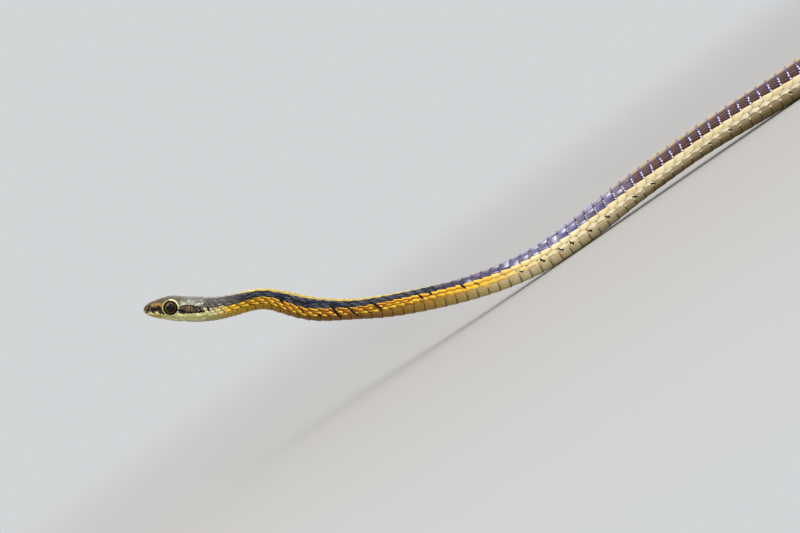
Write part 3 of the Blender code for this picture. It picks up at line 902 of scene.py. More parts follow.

# %% [markdown]
# ## Markings of the head
# The head's marks are small and sharp: dark strokes before the eye, a black-edged patch behind it and pale
# spots on the lips. On the temple a pale grey painted reflection lies over the shields, with small painted
# highlights. They could be painted as a picture, but a few strokes, each a line with a width, can be read
# and changed. Every vertex gets a number for each mark, from 0 to 1, and the material mixes its colours by
# these.

# %% Strokes of the head
# Dark strokes on each side of the head: start and end as (behind the snout, height), half the width
LORE_STROKES = [
    ((4.9, 1.55), (6.75, -1.00), 0.50), ((5.55, -0.1), (5.75, -1.35), 0.26),
    ((6.4, -0.5), (6.9, -1.45), 0.28), ((2.7, 0.90), (3.6, -0.80), 0.38),
    ((1.9, 0.85), (1.15, -0.85), 0.36), ((3.6, 0.6), (4.9, 0.2), 0.55),
]
INK_STROKES = [
    ((12.2, 0.00), (14.2, -0.45), 0.70), ((14.0, -0.62), (17.5, -0.58), 0.30),
    ((17.5, -0.58), (20.8, -0.30), 0.24), ((11.2, 0.35), (12.4, 0.15), 0.22),
    ((12.3, 1.15), (13.8, 1.75), 0.15), ((13.8, 1.75), (17.0, 1.80), 0.13),
    ((16.8, 1.35), (17.6, 0.95), 0.30), ((17.6, 1.30), (20.2, 1.35), 0.15),
    ((21.9, 0.95), (22.3, 0.45), 0.42),
]
# Painted highlights on the shields of the temple
GLINT_STROKES = [
    ((12.9, 2.15), (14.4, 2.45), 0.22), ((17.6, 1.95), (19.2, 2.50), 0.26),
    ((19.6, 2.35), (20.6, 3.05), 0.20), ((15.0, 3.35), (15.8, 3.45), 0.22),
    ((20.9, 1.75), (21.8, 2.30), 0.20),
]
CREAM_STROKES = [
    ((1.3, -1.20), (1.9, -1.25), 0.26), ((2.5, -0.85), (3.3, -1.30), 0.32),
    ((4.3, -0.60), (5.0, -1.00), 0.26), ((6.0, -1.25), (6.4, -1.55), 0.22),
    ((12.2, -1.50), (13.2, -1.55), 0.26), ((17.6, -1.10), (19.4, -1.05), 0.24),
]
print(sum(map(len, (LORE_STROKES, INK_STROKES, GLINT_STROKES, CREAM_STROKES))), "strokes a side")

# %% Draw the strokes
# How far the strokes waver along and up, and how soft their edges are, in shares of their width
WAVER_ALONG = 0.10
WAVER_UP = 0.08
STROKE_EDGE = (0.4, 1.7)


def strokes(distance, up, lines):
    """1 on any of the strokes, 0 away from them. They waver a little and thin out at their ends."""
    drawn = np.zeros_like(distance)
    distance = distance + WAVER_ALONG * np.sin(6.0 * up + 2.0 * distance)
    up = up + WAVER_UP * np.sin(5.0 * distance + 1.0)
    for (a, b), (c, d), width in lines:
        span = (c - a) ** 2 + (d - b) ** 2
        share = np.clip(((distance - a) * (c - a) + (up - b) * (d - b)) / span, 0.0, 1.0)
        away = np.hypot(distance - a - share * (c - a), up - b - share * (d - b))
        thick = width * (0.5 + 0.5 * np.sqrt(4.0 * share * (1.0 - share)))
        drawn = np.maximum(drawn, 1.0 - fade(away / thick, *STROKE_EDGE))
    return drawn


on_line = strokes(np.array([17.5]), np.array([-0.58]), INK_STROKES)[0]
print("on a stroke:", round(float(on_line), 2))

# %% Masks of the head
# Heights over the mouth or the axis, at distances behind the snout
LIP_PAINT = [
    (0, 0.4), (1.5, 0.5), (4, 0.9), (7, 0.8), (9, 0.7), (12, 1.9), (16, 1.9), (20, 2.0), (26, 2.2),
]
PATCH_TOP = [(11.5, 1.2), (13.5, 1.80), (17.0, 1.80), (20.0, 1.30), (23.0, 0.6)]
PATCH_LOW = [(11.5, 0.1), (13.0, -0.80), (17.0, -0.72), (20.0, -0.40), (23.0, 0.1)]
# Half the width of the soft edges of lip and patch
LIP_SOFT = 0.25
PATCH_TOP_SOFT = 0.2
PATCH_LOW_SOFT = 0.15
# Where marks begin and end: (start, end) of the rise and of the fall
MARKED_SIDE = (0.8, 2.2)
PATCH_ALONG = ((11.8, 12.4), (21.0, 22.4))
# Where the temple's painted reflection begins and ends, and how high it reaches
TEMPLE_SHEEN_ALONG = ((11.6, 13.5), (22.5, 25.0))
TEMPLE_SHEEN_TOP = (3.1, 4.0)
# The chin takes its painted shade from this far under the mouth
CHIN_EDGE = (-1.6, -0.5)
MOUTH_DARK = 0.15
# Round the eye: pale rim above, brow before and dark skin next to the glass. Each has its distance
# from the middle of the eye and its width, and the first two the stretch they take, in degrees.
RIM_LINE = (2.74, 0.25)
RIM_TURN = ((5.0, 25.0), (92.0, 112.0))
BROW_LINE = (2.72, 0.20)
BROW_TURN = ((100.0, 120.0), (205.0, 225.0))
DARK_RIM = (2.25, 2.65)


def head_masks(distance, across, up, mouth_near, seam):
    """Soft masks of the head's markings, each from 0 to 1."""
    side = fade(np.abs(across), *MARKED_SIDE)
    over_mouth = up - mouth_height(distance)
    from_eye = np.hypot(distance - EYE_PLACE[0], up - EYE_PLACE[1])
    turn = np.degrees(np.arctan2(up - EYE_PLACE[1], distance - EYE_PLACE[0])) % 360.0
    lip, top, low = [level_of(line, distance) for line in (LIP_PAINT, PATCH_TOP, PATCH_LOW)]
    over_low = (low - PATCH_LOW_SOFT, low + PATCH_LOW_SOFT)
    over_top = (top - PATCH_TOP_SOFT, top + PATCH_TOP_SOFT)
    masks = {}
    masks["lip"] = 1.0 - fade(over_mouth, lip - LIP_SOFT, lip + LIP_SOFT)
    # The chin: the lower jaw, which is darkened with painted shade
    masks["chin"] = 1.0 - fade(over_mouth, *CHIN_EDGE)
    masks["lore"] = side * strokes(distance, up, LORE_STROKES)
    masks["ink"] = side * strokes(distance, up, INK_STROKES)
    # The painted highlights of the temple
    masks["gleam"] = side * strokes(distance, up, GLINT_STROKES)
    masks["cream"] = side * strokes(distance, up, CREAM_STROKES)
    masks["patch"] = side * window(up, over_low, over_top) * window(distance, *PATCH_ALONG)
    # The painted reflection of the light on the temple, just above the dark patch
    masks["temple_sheen"] = side * window(distance, *TEMPLE_SHEEN_ALONG) * window(up, (top - 0.1, top + 0.3), TEMPLE_SHEEN_TOP)
    masks["rim"] = side * window(turn, *RIM_TURN) * bell(from_eye, *RIM_LINE)
    masks["brow"] = side * window(turn, *BROW_TURN) * bell(from_eye, *BROW_LINE)
    masks["dark_rim"] = side * (1.0 - fade(from_eye, *DARK_RIM))
    groove = np.clip(seam + bell(mouth_near, 0.0, MOUTH_DARK), 0.0, 1.0)
    masks["seam"] = groove * (1.0 - 0.6 * masks["lip"])
    return masks


# %% Both tubes with their facts
NECK_REACH = 5.0


def tubes_with_facts():
    """Head tube and body tube, with all numbers that their material reads."""
    tube, distance, angle, seam, mouth_near, across, up = head_tube()
    body, body_distance, body_angle = body_tube()
    masks = head_masks(distance, across, up, mouth_near, seam)
    for name, values in masks.items():
        add_number(tube.data, name, values)
        add_number(body.data, name, np.zeros(len(body_distance)))
    for thing, d, a in ((tube, distance, angle), (body, body_distance, body_angle)):
        unrolled = a - np.interp(d, FINE, ROLL_AT)
        add_number(thing.data, "along", d)
        add_number(thing.data, "row", row_at(folded(unrolled)))
        add_number(thing.data, "level", over_band_edge(d, folded(unrolled)))
        add_number(thing.data, "over", over_stripe_edge(d, folded(unrolled)))
        add_number(thing.data, "height", np.zeros(len(d)) if thing is body else up)
    return tube, body


def one_skin(tube, body):
    """Bridge the head's tube to the body's, and close both ends."""
    close_tube(tube)
    close_tube(body)
    pick(tube, body)
    bpy.ops.object.join()
    skin = bpy.context.active_object
    bpy.ops.object.mode_set(mode="EDIT")
    bpy.ops.mesh.select_mode(type="EDGE")
    bpy.ops.mesh.select_all(action="DESELECT")
    bpy.ops.object.mode_set(mode="OBJECT")
    # The open rings on both sides of the gap are those edges near it that have only one face
    neck, _, _, _ = axes_at(HEAD_END + BRIDGE / 2.0)
    near = set()
    for vertex in skin.data.vertices:
        if abs((np.array(vertex.co) / MM - neck)[0]) < NECK_REACH:
            near.add(vertex.index)
    border = {}
    for polygon in skin.data.polygons:
        for key in polygon.edge_keys:
            border[key] = border.get(key, 0) + 1
    for edge in skin.data.edges:
        edge.select = border[edge.key] == 1 and edge.vertices[0] in near
    bpy.ops.object.mode_set(mode="EDIT")
    bpy.ops.mesh.bridge_edge_loops()
    # What is still open then is the tip of the snout and that of the tail
    bpy.ops.mesh.select_all(action="DESELECT")
    bpy.ops.mesh.select_non_manifold()
    bpy.ops.mesh.edge_face_add()
    bpy.ops.mesh.select_all(action="SELECT")
    bpy.ops.mesh.normals_make_consistent(inside=False)
    bpy.ops.object.mode_set(mode="OBJECT")
    bpy.ops.object.shade_smooth()
    return skin


skin = one_skin(*tubes_with_facts())
skin.data.uv_layers[0].name = "OFBake"
print("skin:", len(skin.data.polygons), "faces")

# %% [markdown]
# ## One scale, copied
# A dorsal scale is a smooth, narrow tile. Its front is tucked under the scale before it and its
# free tip lies over the next. One flat grid is shaped into such a tile and given thickness by an
# extrusion. The tile is drawn in shares: one unit long is one cross row, one unit wide is the
# width of its row, and its height is in millimetres. Every scale is then a copy that is laid on
# the surface at its own address.

# %% The tile
TUCK = 0.32
TILE_THICKNESS = 0.10
TILE_SLOPE = 0.17
TILE_CROWN = 0.10
TIP_BLUNT = 2.2
ROOT_WIDTH = 0.82
ROOT_END = 0.1
ARCH_RISES = 2.5


def scale_shape(tip_start, tip_width, crown):
    """The form of a scale of the back: where its tip begins, how blunt that is, and its arch."""
    def place(side, run):
        along = -TUCK + (1.0 + TUCK) * run
        narrow = 1.0
        if along > tip_start:
            into_tip = (along - tip_start) / (1.0 - tip_start)
            narrow = tip_width + (1.0 - tip_width) * math.sqrt(max(0.0, 1.0 - into_tip ** TIP_BLUNT))
        if along < ROOT_END:
            narrow = ROOT_WIDTH + (1.0 - ROOT_WIDTH) * max(0.0, (along + TUCK) / (TUCK + ROOT_END))
        arch = crown * (1.0 - side * side) * min(1.0, (along + TUCK) * ARCH_RISES)
        return 0.5 * side * narrow, along, TILE_SLOPE * along + arch
    return place


# A belly plate: where its ends begin to round off, how they lie over the lowest row, its front and
# rear edge, and how far the rounding cuts into each
PLATE_ARCH = 0.74
PLATE_LIFT = 0.20
PLATE_FRONT = -0.45
FRONT_CUT = 0.75
REAR_CUT = 0.42
ENDS_CLOSER = 1.8
ENDS_CURL = 0.8


def plate_shape(side, run):
    """The form of a belly plate: a broad band whose two ends are arched and lie over the lowest row."""
    side = math.copysign(1.0 - (1.0 - min(1.0, abs(side))) ** ENDS_CLOSER, side)
    end = max(0.0, (abs(side) - PLATE_ARCH) / (1.0 - PLATE_ARCH))
    shoulder = 1.0 - math.sqrt(max(0.0, 1.0 - end * end))
    front = PLATE_FRONT + FRONT_CUT * shoulder
    rear = 1.0 - REAR_CUT * shoulder
    along = front + (rear - front) * run
    return 0.5 * side, along, TILE_SLOPE * along + PLATE_LIFT * end ** ENDS_CURL


# %% Four tiles
def make_tile(name, columns, rows, place, one_face_below=True):
    """A closed tile, long along Y, in the form that place gives. Its underside can be one face."""
    deselect_all()
    bpy.ops.mesh.primitive_grid_add(x_subdivisions=columns, y_subdivisions=rows, size=1.0)
    tile = bpy.context.active_object
    tile.name = name
    for vertex in tile.data.vertices:
        vertex.co = Vector(place(vertex.co.x * 2.0, vertex.co.y + 0.5))
    bpy.ops.object.mode_set(mode="EDIT")
    bpy.ops.mesh.select_all(action="SELECT")
    bpy.ops.mesh.extrude_region_move(TRANSFORM_OT_translate={"value": (0.0, 0.0, -TILE_THICKNESS)})
    if one_face_below:
        bpy.ops.mesh.dissolve_faces()
    bpy.ops.mesh.select_all(action="SELECT")
    bpy.ops.mesh.normals_make_consistent(inside=False)
    bpy.ops.object.mode_set(mode="OBJECT")
    return tile


# Columns and rows of the grid, then where the tip begins, how wide it ends and how high it arches
narrow_tile = make_tile("narrow_tile", 4, 5, scale_shape(0.80, 0.50, TILE_CROWN))
broad_tile = make_tile("broad_tile", 4, 6, scale_shape(0.52, 0.28, 0.12))
spine_tile = make_tile("spine_tile", 6, 5, scale_shape(0.50, 0.42, TILE_CROWN))
belly_tile = make_tile("belly_tile", 16, 1, plate_shape, one_face_below=False)
TILES = (narrow_tile, broad_tile, spine_tile, belly_tile)
print("tile faces:", [len(tile.data.polygons) for tile in TILES])


# %% Arrays of a tile
def tile_arrays(tile):
    """Corners and faces of a tile. Laying mirrors it, so each face is turned to point outwards."""
    corners = np.array([vertex.co[:] for vertex in tile.data.vertices])
    faces = [tuple(polygon.vertices) for polygon in tile.data.polygons]
    return corners, [(face[0], *reversed(face[1:])) for face in faces]


def around_share(angle):
    """Share of the way round the body, for the flat map."""
    return ((np.asarray(angle, dtype=float) + 90.0) % 360.0) / 360.0


print("corners of a belly plate:", len(tile_arrays(belly_tile)[0]))

# %% [markdown]
# ## Scales at their addresses
# A scale's address is its distance behind the snout and its angle round the body. Each corner of
# the tile is a small step from there, so the same two functions that shape the skin also bend the
# tile round the body, and no scale floats off it. Along with its place, every corner keeps a few
# facts, such as how near it is to the tip or the edge of its scale, for the paint to read later.

# %% Lay tiles on the surface
# Side of a scale's patch on the flat map, as a share of the map
PATCH = 0.003
# A body this deep below its axis carries scales at their full thickness; the thin tail thins them
FULL_DEPTH = 3.6
THINNEST = 0.30
# Share of a marking's edge that steps from scale to scale; the rest runs smoothly across them
BAND_STEPS = 0.5
STRIPE_STEPS = 0.4
# No scale reaches past these distances, or nearer to the floor than this height
ENDS_AT = (0.5, TOTAL - 0.3)
SCALES_FLOOR = 0.02


def lay_tiles(tile, starts, lengths, middles, halves, lift, slant=0.0, lean=0.0, side=1.0):
    """Vertices, faces and facts of copies of a tile at (distance, angle) addresses."""
    corners, faces = tile_arrays(tile)
    count, each = len(starts), len(corners)
    across_share, run, height = corners[:, 0], corners[:, 1], corners[:, 2]
    slant, lean = [np.asarray(value, dtype=float).reshape(-1, 1) for value in (slant, lean)]
    distance = starts[:, None] + run[None, :] * lengths[:, None]
    distance = distance + lean * side * across_share[None, :] * lengths[:, None]
    distance = np.clip(distance, *ENDS_AT)
    angle = middles[:, None] + across_share[None, :] * 2.0 * halves[:, None]
    angle = angle - side * slant * (run[None, :] - 0.5)
    thin = np.clip(size("below", distance) / FULL_DEPTH, THINNEST, 1.0)
    grow = (lift[:, None] + height[None, :]) * thin
    flat = rolled(distance, angle)
    head_like = distance < HEAD_END
    body_across, body_up = section(distance, flat, grow)
    head_across, head_up = head_section(distance, flat, grow)
    across = np.where(head_like, head_across, body_across)
    up = np.where(head_like, head_up, body_up)
    spots = to_world(distance, across, up, SCALES_FLOOR)
    all_faces = [tuple(v + k * each for v in face) for k in range(count) for face in faces]
    patch_u = starts[:, None] / TOTAL + (run[None, :] - 0.5) * PATCH
    patch_v = around_share(middles)[:, None] + across_share[None, :] * PATCH
    turned = folded(angle)
    level = over_band_edge(starts, folded(middles))[:, None]
    over = over_stripe_edge(starts, folded(middles))[:, None]
    facts = {
        "along": distance,
        "angle": turned,
        "tip": np.broadcast_to(run, distance.shape),
        "edge": np.broadcast_to(np.abs(2.0 * across_share), distance.shape),
        "side": np.broadcast_to(2.0 * side * across_share, distance.shape),
        "level": BAND_STEPS * level + (1.0 - BAND_STEPS) * over_band_edge(distance, turned),
        "over": STRIPE_STEPS * over + (1.0 - STRIPE_STEPS) * over_stripe_edge(distance, turned),
        "u": patch_u,
        "v": np.broadcast_to(patch_v, distance.shape),
    }
    return spots.reshape(-1, 3), all_faces, {k: v.ravel() for k, v in facts.items()}, each


# %% Join laid tiles into a piece
SHARP_FROM = 50.0


def coat_piece(name, layers):
    """One joined mesh from several sets of laid tiles, with its facts and its flat map."""
    spots, faces, facts = [], [], {}
    first = 0
    for places, corner_lists, values in layers:
        spots.append(places)
        faces += [tuple(v + first for v in face) for face in corner_lists]
        for key, numbers in values.items():
            facts.setdefault(key, []).append(numbers)
        first += len(places)
    spots = np.concatenate(spots)
    mesh = bpy.data.meshes.new(name)
    mesh.from_pydata((spots * MM).tolist(), [], faces)
    flat_map = mesh.uv_layers.new(name="OFBake")
    corners = np.empty(len(mesh.loops), dtype=np.int32)
    mesh.loops.foreach_get("vertex_index", corners)
    map_u = np.concatenate(facts.pop("u"))[corners]
    map_v = np.concatenate(facts.pop("v"))[corners]
    flat_map.data.foreach_set("uv", np.stack([map_u, map_v], axis=1).astype(np.float32).ravel())
    for key, numbers in facts.items():
        add_number(mesh, key, np.concatenate(numbers))
    mesh.shade_smooth()
    mesh.set_sharp_from_angle(angle=math.radians(SHARP_FROM))
    piece = bpy.data.objects.new(name, mesh)
    bpy.context.scene.collection.objects.link(piece)
    return piece


# %% [markdown]
# ## Rows of scales from neck to tail
# The rows start behind the head's shields, where the scales are small, and grow to their full
# length within a head's length. In the photograph the tips of all dark rows stand in line across
# the body, once for each belly plate, and only the lowest pale rows are staggered, by a half or a
# third of a scale. The lowest row dips under the arched ends of the plates. Small differences in
# length, width and height keep the rows from looking stamped.

# %% Where rows begin, stagger and slope
LENGTHS = [
    ("neck", FIRST_STATION, 66.0), ("forebody", 66.0, 160.0), ("trunk_front", 160.0, 290.0),
    ("trunk_middle", 290.0, 412.0), ("trunk_hind", 412.0, 558.0), ("trunk_rear", 558.0, 700.0),
    ("tail_base", 700.0, 842.0), ("tail_middle", 842.0, 960.0), ("tail_tip", 960.0, TOTAL),
]
TAIL_FROM = 712.0
TIP_FROM = 900.0
STAGGER = {1: 0.5, 1.1: 0.66, 1.6: 0.33}
# Each row also starts this share of a scale behind the row above it, or before it where the share
# is under 0, so that the lines of tips slope
SLOPE_FROM = [70.0, 100.0, 120.0, 140.0, 165.0, 200.0]
SLOPE_TO = [0.30, 0.05, -0.085, -0.07, -0.04, -0.045]
# Where the rows begin behind the head, by angle over the side's middle line
ROWS_BEGIN = [(-30, 21.0), (-14, 20.8), (0, 20.0), (16, 18.8), (40, 18.3), (62, 18.8), (90, 19.6)]
# The lowest rows slant downwards to the rear on the neck; further back their tips lean upwards
LEAN_FROM = [26.0, 45.0, 105.0, 150.0, 180.0]
SLANT_TO = [4.0, 10.0, 9.0, 5.0, 4.0]
LEAN_TO = [0.0, 0.0, 0.05, 0.28, 0.34]


def rows_at(distance):
    """The table of rows at a distance."""
    if distance < NECK_ROWS_END:
        return NECK_ROWS
    if distance < TAIL_FROM:
        return TRUNK_ROWS
    return TAIL_ROWS if distance < TIP_FROM else TIP_ROWS


print("rows at 50, 100, 800 and 950 mm:", [len(rows_at(d)) for d in (50.0, 100.0, 800.0, 950.0)])

# %% [markdown]
# ## Black marks
# Short black bars slant down through the gold of the neck, and small ones stand over some belly plates. A
# bar runs on across several scales, so it can't be a mark that every scale repeats. Each corner of a scale
# is given its distance from the nearest bar, and the material draws black where that is small. The places
# were chosen to fall where the photograph has them.

# %% Black marks
# Place, highest and lowest angle, half the width, and slant in millimetres a degree
BLACK_MARKS = [
    (22.2, 16, -3, 0.50, 0.020), (47.2, 22, -3, 0.85, 0.030), (54.6, 7, -15, 0.38, 0.070),
    (59.6, -8, -27, 0.46, 0.070), (65.6, 24, -40, 0.58, 0.060), (71.0, 24, -38, 0.60, 0.080),
    (80.0, 26, -21, 0.68, 0.080), (95.0, 13, -16, 0.52, 0.045), (98.6, 22, -5, 0.48, 0.030),
    (109.8, 15, -15, 0.52, 0.050), (114.2, 3, -17, 0.54, 0.060), (129.0, -11, -24, 0.42, 0.060),
    (137.2, -10, -25, 0.50, 0.060), (144.4, -10, -24, 0.46, 0.060), (148.6, -10, -25, 0.48, 0.060),
    (155.8, -10, -26, 0.52, 0.060), (163.4, -10, -25, 0.50, 0.060), (174.8, -11, -26, 0.50, 0.060),
    (182.4, -11, -25, 0.46, 0.060), (206.0, -13, -24, 0.40, 0.060), (214.2, -13, -23, 0.34, 0.060),
    (238.0, -12, -23, 0.38, 0.060), (286.0, -12, -23, 0.38, 0.060), (331.0, -12, -23, 0.38, 0.060),
]
# A bar's place is its distance behind the snout five degrees under the side's middle line. A belly
# plate counts as if its middle were at its upper end, where bars can reach it, and the last value
# keeps the ends of a bar from thinning out to nothing.
MARK_LEVEL = 5.0
LOWEST_MIDDLE = -22.0
MARK_END = 0.06
# What a degree above or below a mark counts for in millimetres, and the largest distance kept
OUTSIDE_COUNTS = 0.05
FAR_AWAY = 8.0
RANDOM = np.random.default_rng(11)


def with_marks(facts, row, each):
    """Add what is the same all over a scale, and where the nearest black mark runs across it."""
    count = len(facts["along"]) // each
    facts["row"] = np.full(count * each, row)
    facts["chance"] = np.repeat(RANDOM.random(count), each)
    marks = np.array(BLACK_MARKS)
    angle = facts.pop("angle")
    middle = np.maximum(angle.reshape(count, each).mean(axis=1), LOWEST_MIDDLE)
    along = facts["along"].reshape(count, each).mean(axis=1)
    centres = marks[:, 0] - (middle[:, None] + MARK_LEVEL) * marks[:, 4]
    above = np.maximum(middle[:, None] - marks[:, 1], 0.0)
    below = np.maximum(marks[:, 2] - middle[:, None], 0.0)
    gaps = np.abs(along[:, None] - centres) + OUTSIDE_COUNTS * (above + below)
    nearest = np.argmin(gaps, axis=1)
    place, top, low, half, slant = marks[np.repeat(nearest, each)].T
    depth = np.clip((angle - low) / (top - low), 0.0, 1.0)
    taper = np.sqrt(np.maximum(4.0 * depth * (1.0 - depth), MARK_END))
    gap = facts["along"] + (angle + MARK_LEVEL) * slant - place
    facts["bar"] = np.clip(gap / (half * taper), -FAR_AWAY, FAR_AWAY)
    facts["reach"] = np.minimum(top - angle, angle - low)
    return facts


print(len(BLACK_MARKS), "black marks on each side")

# %% Rows of the back and sides
# How much a copy differs from its neighbours: degrees, shares of length and width, and millimetres
VARY_ANGLE = 0.35
VARY_LENGTH = 0.02
VARY_PLACE = 0.05
VARY_WIDTH = 0.025
VARY_LIFT = 0.012
# Copies are a little longer and wider than their places, so that they overlap
LONGER = 1.04
WIDER = 1.05
# The lower a row lies, the deeper it is set, so that the plates and rows over it can lie on it
LIFT_ROWS = [1.0, 1.1, 1.9, 2.0]
LIFT_TO = [-0.30, -0.25, -0.25, -0.17]


def row_layers(start, end):
    """Laid tiles of one length of the body, row by row, on both sides."""
    layers = []
    inside = STATIONS[(STATIONS >= start) & (STATIONS < end)]
    for rows in (NECK_ROWS, TRUNK_ROWS, TAIL_ROWS, TIP_ROWS):
        stations = np.array([s for s in inside if rows_at(s) is rows])
        if len(stations) == 0:
            continue
        for row, (middle, half) in rows.items():
            pitches = along_table(PITCH, stations)
            behind = STAGGER.get(row, 0.0) + (8 - row) * np.interp(stations, SLOPE_FROM, SLOPE_TO)
            begun = stations + behind * pitches
            behind_head = begun >= reading(ROWS_BEGIN, middle)
            pitches, begun = pitches[behind_head], begun[behind_head]
            # The row along the spine is a single one, except on the tip of the tail
            for side in ((1,) if row == 8 and rows is not TIP_ROWS else (1, -1)):
                count = len(begun)
                middles = np.full(count, middle if side == 1 else 180.0 - middle)
                middles = middles + RANDOM.normal(0.0, VARY_ANGLE, count)
                lengths = pitches * (LONGER + RANDOM.normal(0.0, VARY_LENGTH, count))
                starts = begun + RANDOM.normal(0.0, VARY_PLACE, count)
                halves = half * (WIDER + RANDOM.normal(0.0, VARY_WIDTH, count))
                lift = np.interp(row, LIFT_ROWS, LIFT_TO) + RANDOM.normal(0.0, VARY_LIFT, count)
                tile = spine_tile if row == 8 else broad_tile if row < 2.5 or row == 7 else narrow_tile
                slant = np.interp(begun, LEAN_FROM, SLANT_TO) if row < 4 else 0.0
                lean = np.interp(begun, LEAN_FROM, LEAN_TO) if row < 3 else 0.0
                places, faces, facts, each = lay_tiles(
                    tile, starts, lengths, middles, halves, lift, slant, lean, float(side))
                layers.append((places, faces, with_marks(facts, float(row), each)))
    return layers


print("rows beside the spine:", len(TRUNK_ROWS) - 1, "on each side of the trunk")

# %% [markdown]
# ## Throat and belly
# Under the throat there are small scales. Behind them come the belly plates, one for each cross
# row, which the snake walks on: broad bands that lie over one another like shingles. Behind the
# vent they are paired. The same belly tile serves for both, at its full width or at half of it.

# %% Values of throat and belly
# Both have row numbers of their own, by which the paint knows them
THROAT_ROW = 0.3
BELLY_ROW = 0.0
# The throat's scales begin early near its middle, in columns at these angles
THROAT_FROM = 13.5
THROAT_MIDDLE = 30.0
THROAT_SIDES_FROM = 20.8
THROAT_COLUMNS = (-34.0, -52.0, -70.0, -88.0, -106.0, -124.0, -142.0)
THROAT_STEP = 1.5
THROAT_LENGTH = 1.62
THROAT_HALF = 9.6
THROAT_LIFT = -0.24
BELLY_FROM = 31.0
BELLY_LONGER = 1.03
BELLY_LIFT = -0.20
PLATE_OVERLAP = 1.0
VENT = 700.0
print("belly plates before the vent:", int(((STATIONS >= BELLY_FROM) & (STATIONS < VENT)).sum()))


# %% Throat and belly
def throat_layers():
    """Small scales under the throat, between the chin shields and the first belly plate."""
    layers = []
    for column, middle in enumerate(THROAT_COLUMNS):
        begin = THROAT_FROM if abs(middle + 90.0) < THROAT_MIDDLE else THROAT_SIDES_FROM
        begin += THROAT_STEP / 2.0 if column % 2 else 0.0
        spots = np.arange(begin, BELLY_FROM + 0.5, THROAT_STEP)
        same = np.ones(len(spots))
        places, faces, facts, each = lay_tiles(
            broad_tile, spots, same * THROAT_LENGTH, same * middle, same * THROAT_HALF,
            same * THROAT_LIFT,
        )
        layers.append((places, faces, with_marks(facts, THROAT_ROW, each)))
    return layers


def belly_layers(start, end):
    """Belly plates right across, and behind the vent pairs of narrower plates."""
    layers = []
    inside = STATIONS[(STATIONS >= max(start, BELLY_FROM)) & (STATIONS < end)]
    for paired in (False, True):
        stations = inside[(inside >= VENT) == paired]
        if len(stations) == 0:
            continue
        pitches = along_table(PITCH, stations)
        reach = 90.0 + along_table(BELLY_EDGE, stations)
        for share in ((-0.5, 0.5) if paired else (0.0,)):
            places, faces, facts, each = lay_tiles(
                belly_tile, stations, pitches * BELLY_LONGER, -90.0 + share * reach,
                reach * (1.0 - abs(share)) + PLATE_OVERLAP, np.full(len(stations), BELLY_LIFT),
            )
            layers.append((places, faces, with_marks(facts, BELLY_ROW, each)))
    return layers


# %% Lay every length
def volume_of(piece):
    """Volume in cubic millimetres, which is over 0 only where faces point outwards."""
    solid = bmesh.new()
    solid.from_mesh(piece.data)
    volume = solid.calc_volume(signed=True) / MM ** 3
    solid.free()
    return round(volume)


scales = []
laid = 0
for name, start, end in LENGTHS:
    layers = row_layers(start, end) + belly_layers(start, end)
    if name == "neck":
        layers += throat_layers()
    piece = coat_piece("scales_" + name, layers)
    triangles = sum(len(p.vertices) - 2 for p in piece.data.polygons)
    count = sum(len(np.unique(facts["chance"])) for _, _, facts in layers)
    laid += count
    print(piece.name, count, "scales,", triangles, "triangles,", volume_of(piece), "cubic mm")
    scales.append(piece)

for tile in TILES:
    bpy.data.objects.remove(tile, do_unlink=True)
print(laid, "scales and plates in all")

# %% [markdown]
# ## The eyes
# The eye is the largest feature of this snake's head: a round black pupil, a dark bronze iris that
# ends in a thin golden ring, and over them a clear fixed scale that is as glossy as glass. A sphere
# with its pole turned outwards gives rings of faces round the pupil, so the colours can follow the
# distance from that pole.

# %% Eyes
# The inner half of the sphere can't be seen, and counts as this far from the pupil
FAR_FROM_PUPIL = 9.0


def make_eye(name, side):
    """A sphere made into an eye, with each vertex's distance from the middle of the pupil."""
    deselect_all()
    bpy.ops.mesh.primitive_uv_sphere_add(segments=48, ring_count=32, radius=1.0)
    eye = bpy.context.active_object
    eye.name = name
    ring = []
    deep, long_, tall = EYE_RADII
    for vertex in eye.data.vertices:
        back, up, out = vertex.co.x * long_, vertex.co.y * tall, vertex.co.z
        ring.append(math.hypot(back, up) if out > 0.0 else FAR_FROM_PUPIL)
        across = side * (EYE_OUT + out * deep)
        vertex.co = Vector(head_place(EYE_PLACE[0] + back, across, EYE_PLACE[1] + up) * MM)
    add_number(eye.data, "ring", ring)
    pick(eye)
    bpy.ops.object.mode_set(mode="EDIT")
    bpy.ops.mesh.select_all(action="SELECT")
    bpy.ops.mesh.normals_make_consistent(inside=False)
    bpy.ops.object.mode_set(mode="OBJECT")
    bpy.ops.object.shade_smooth()
    return eye


eyes = [make_eye("glass_eye_left", 1.0), make_eye("glass_eye_right", -1.0)]
print("eyes:", [(eye.name, volume_of(eye)) for eye in eyes], "cubic mm")
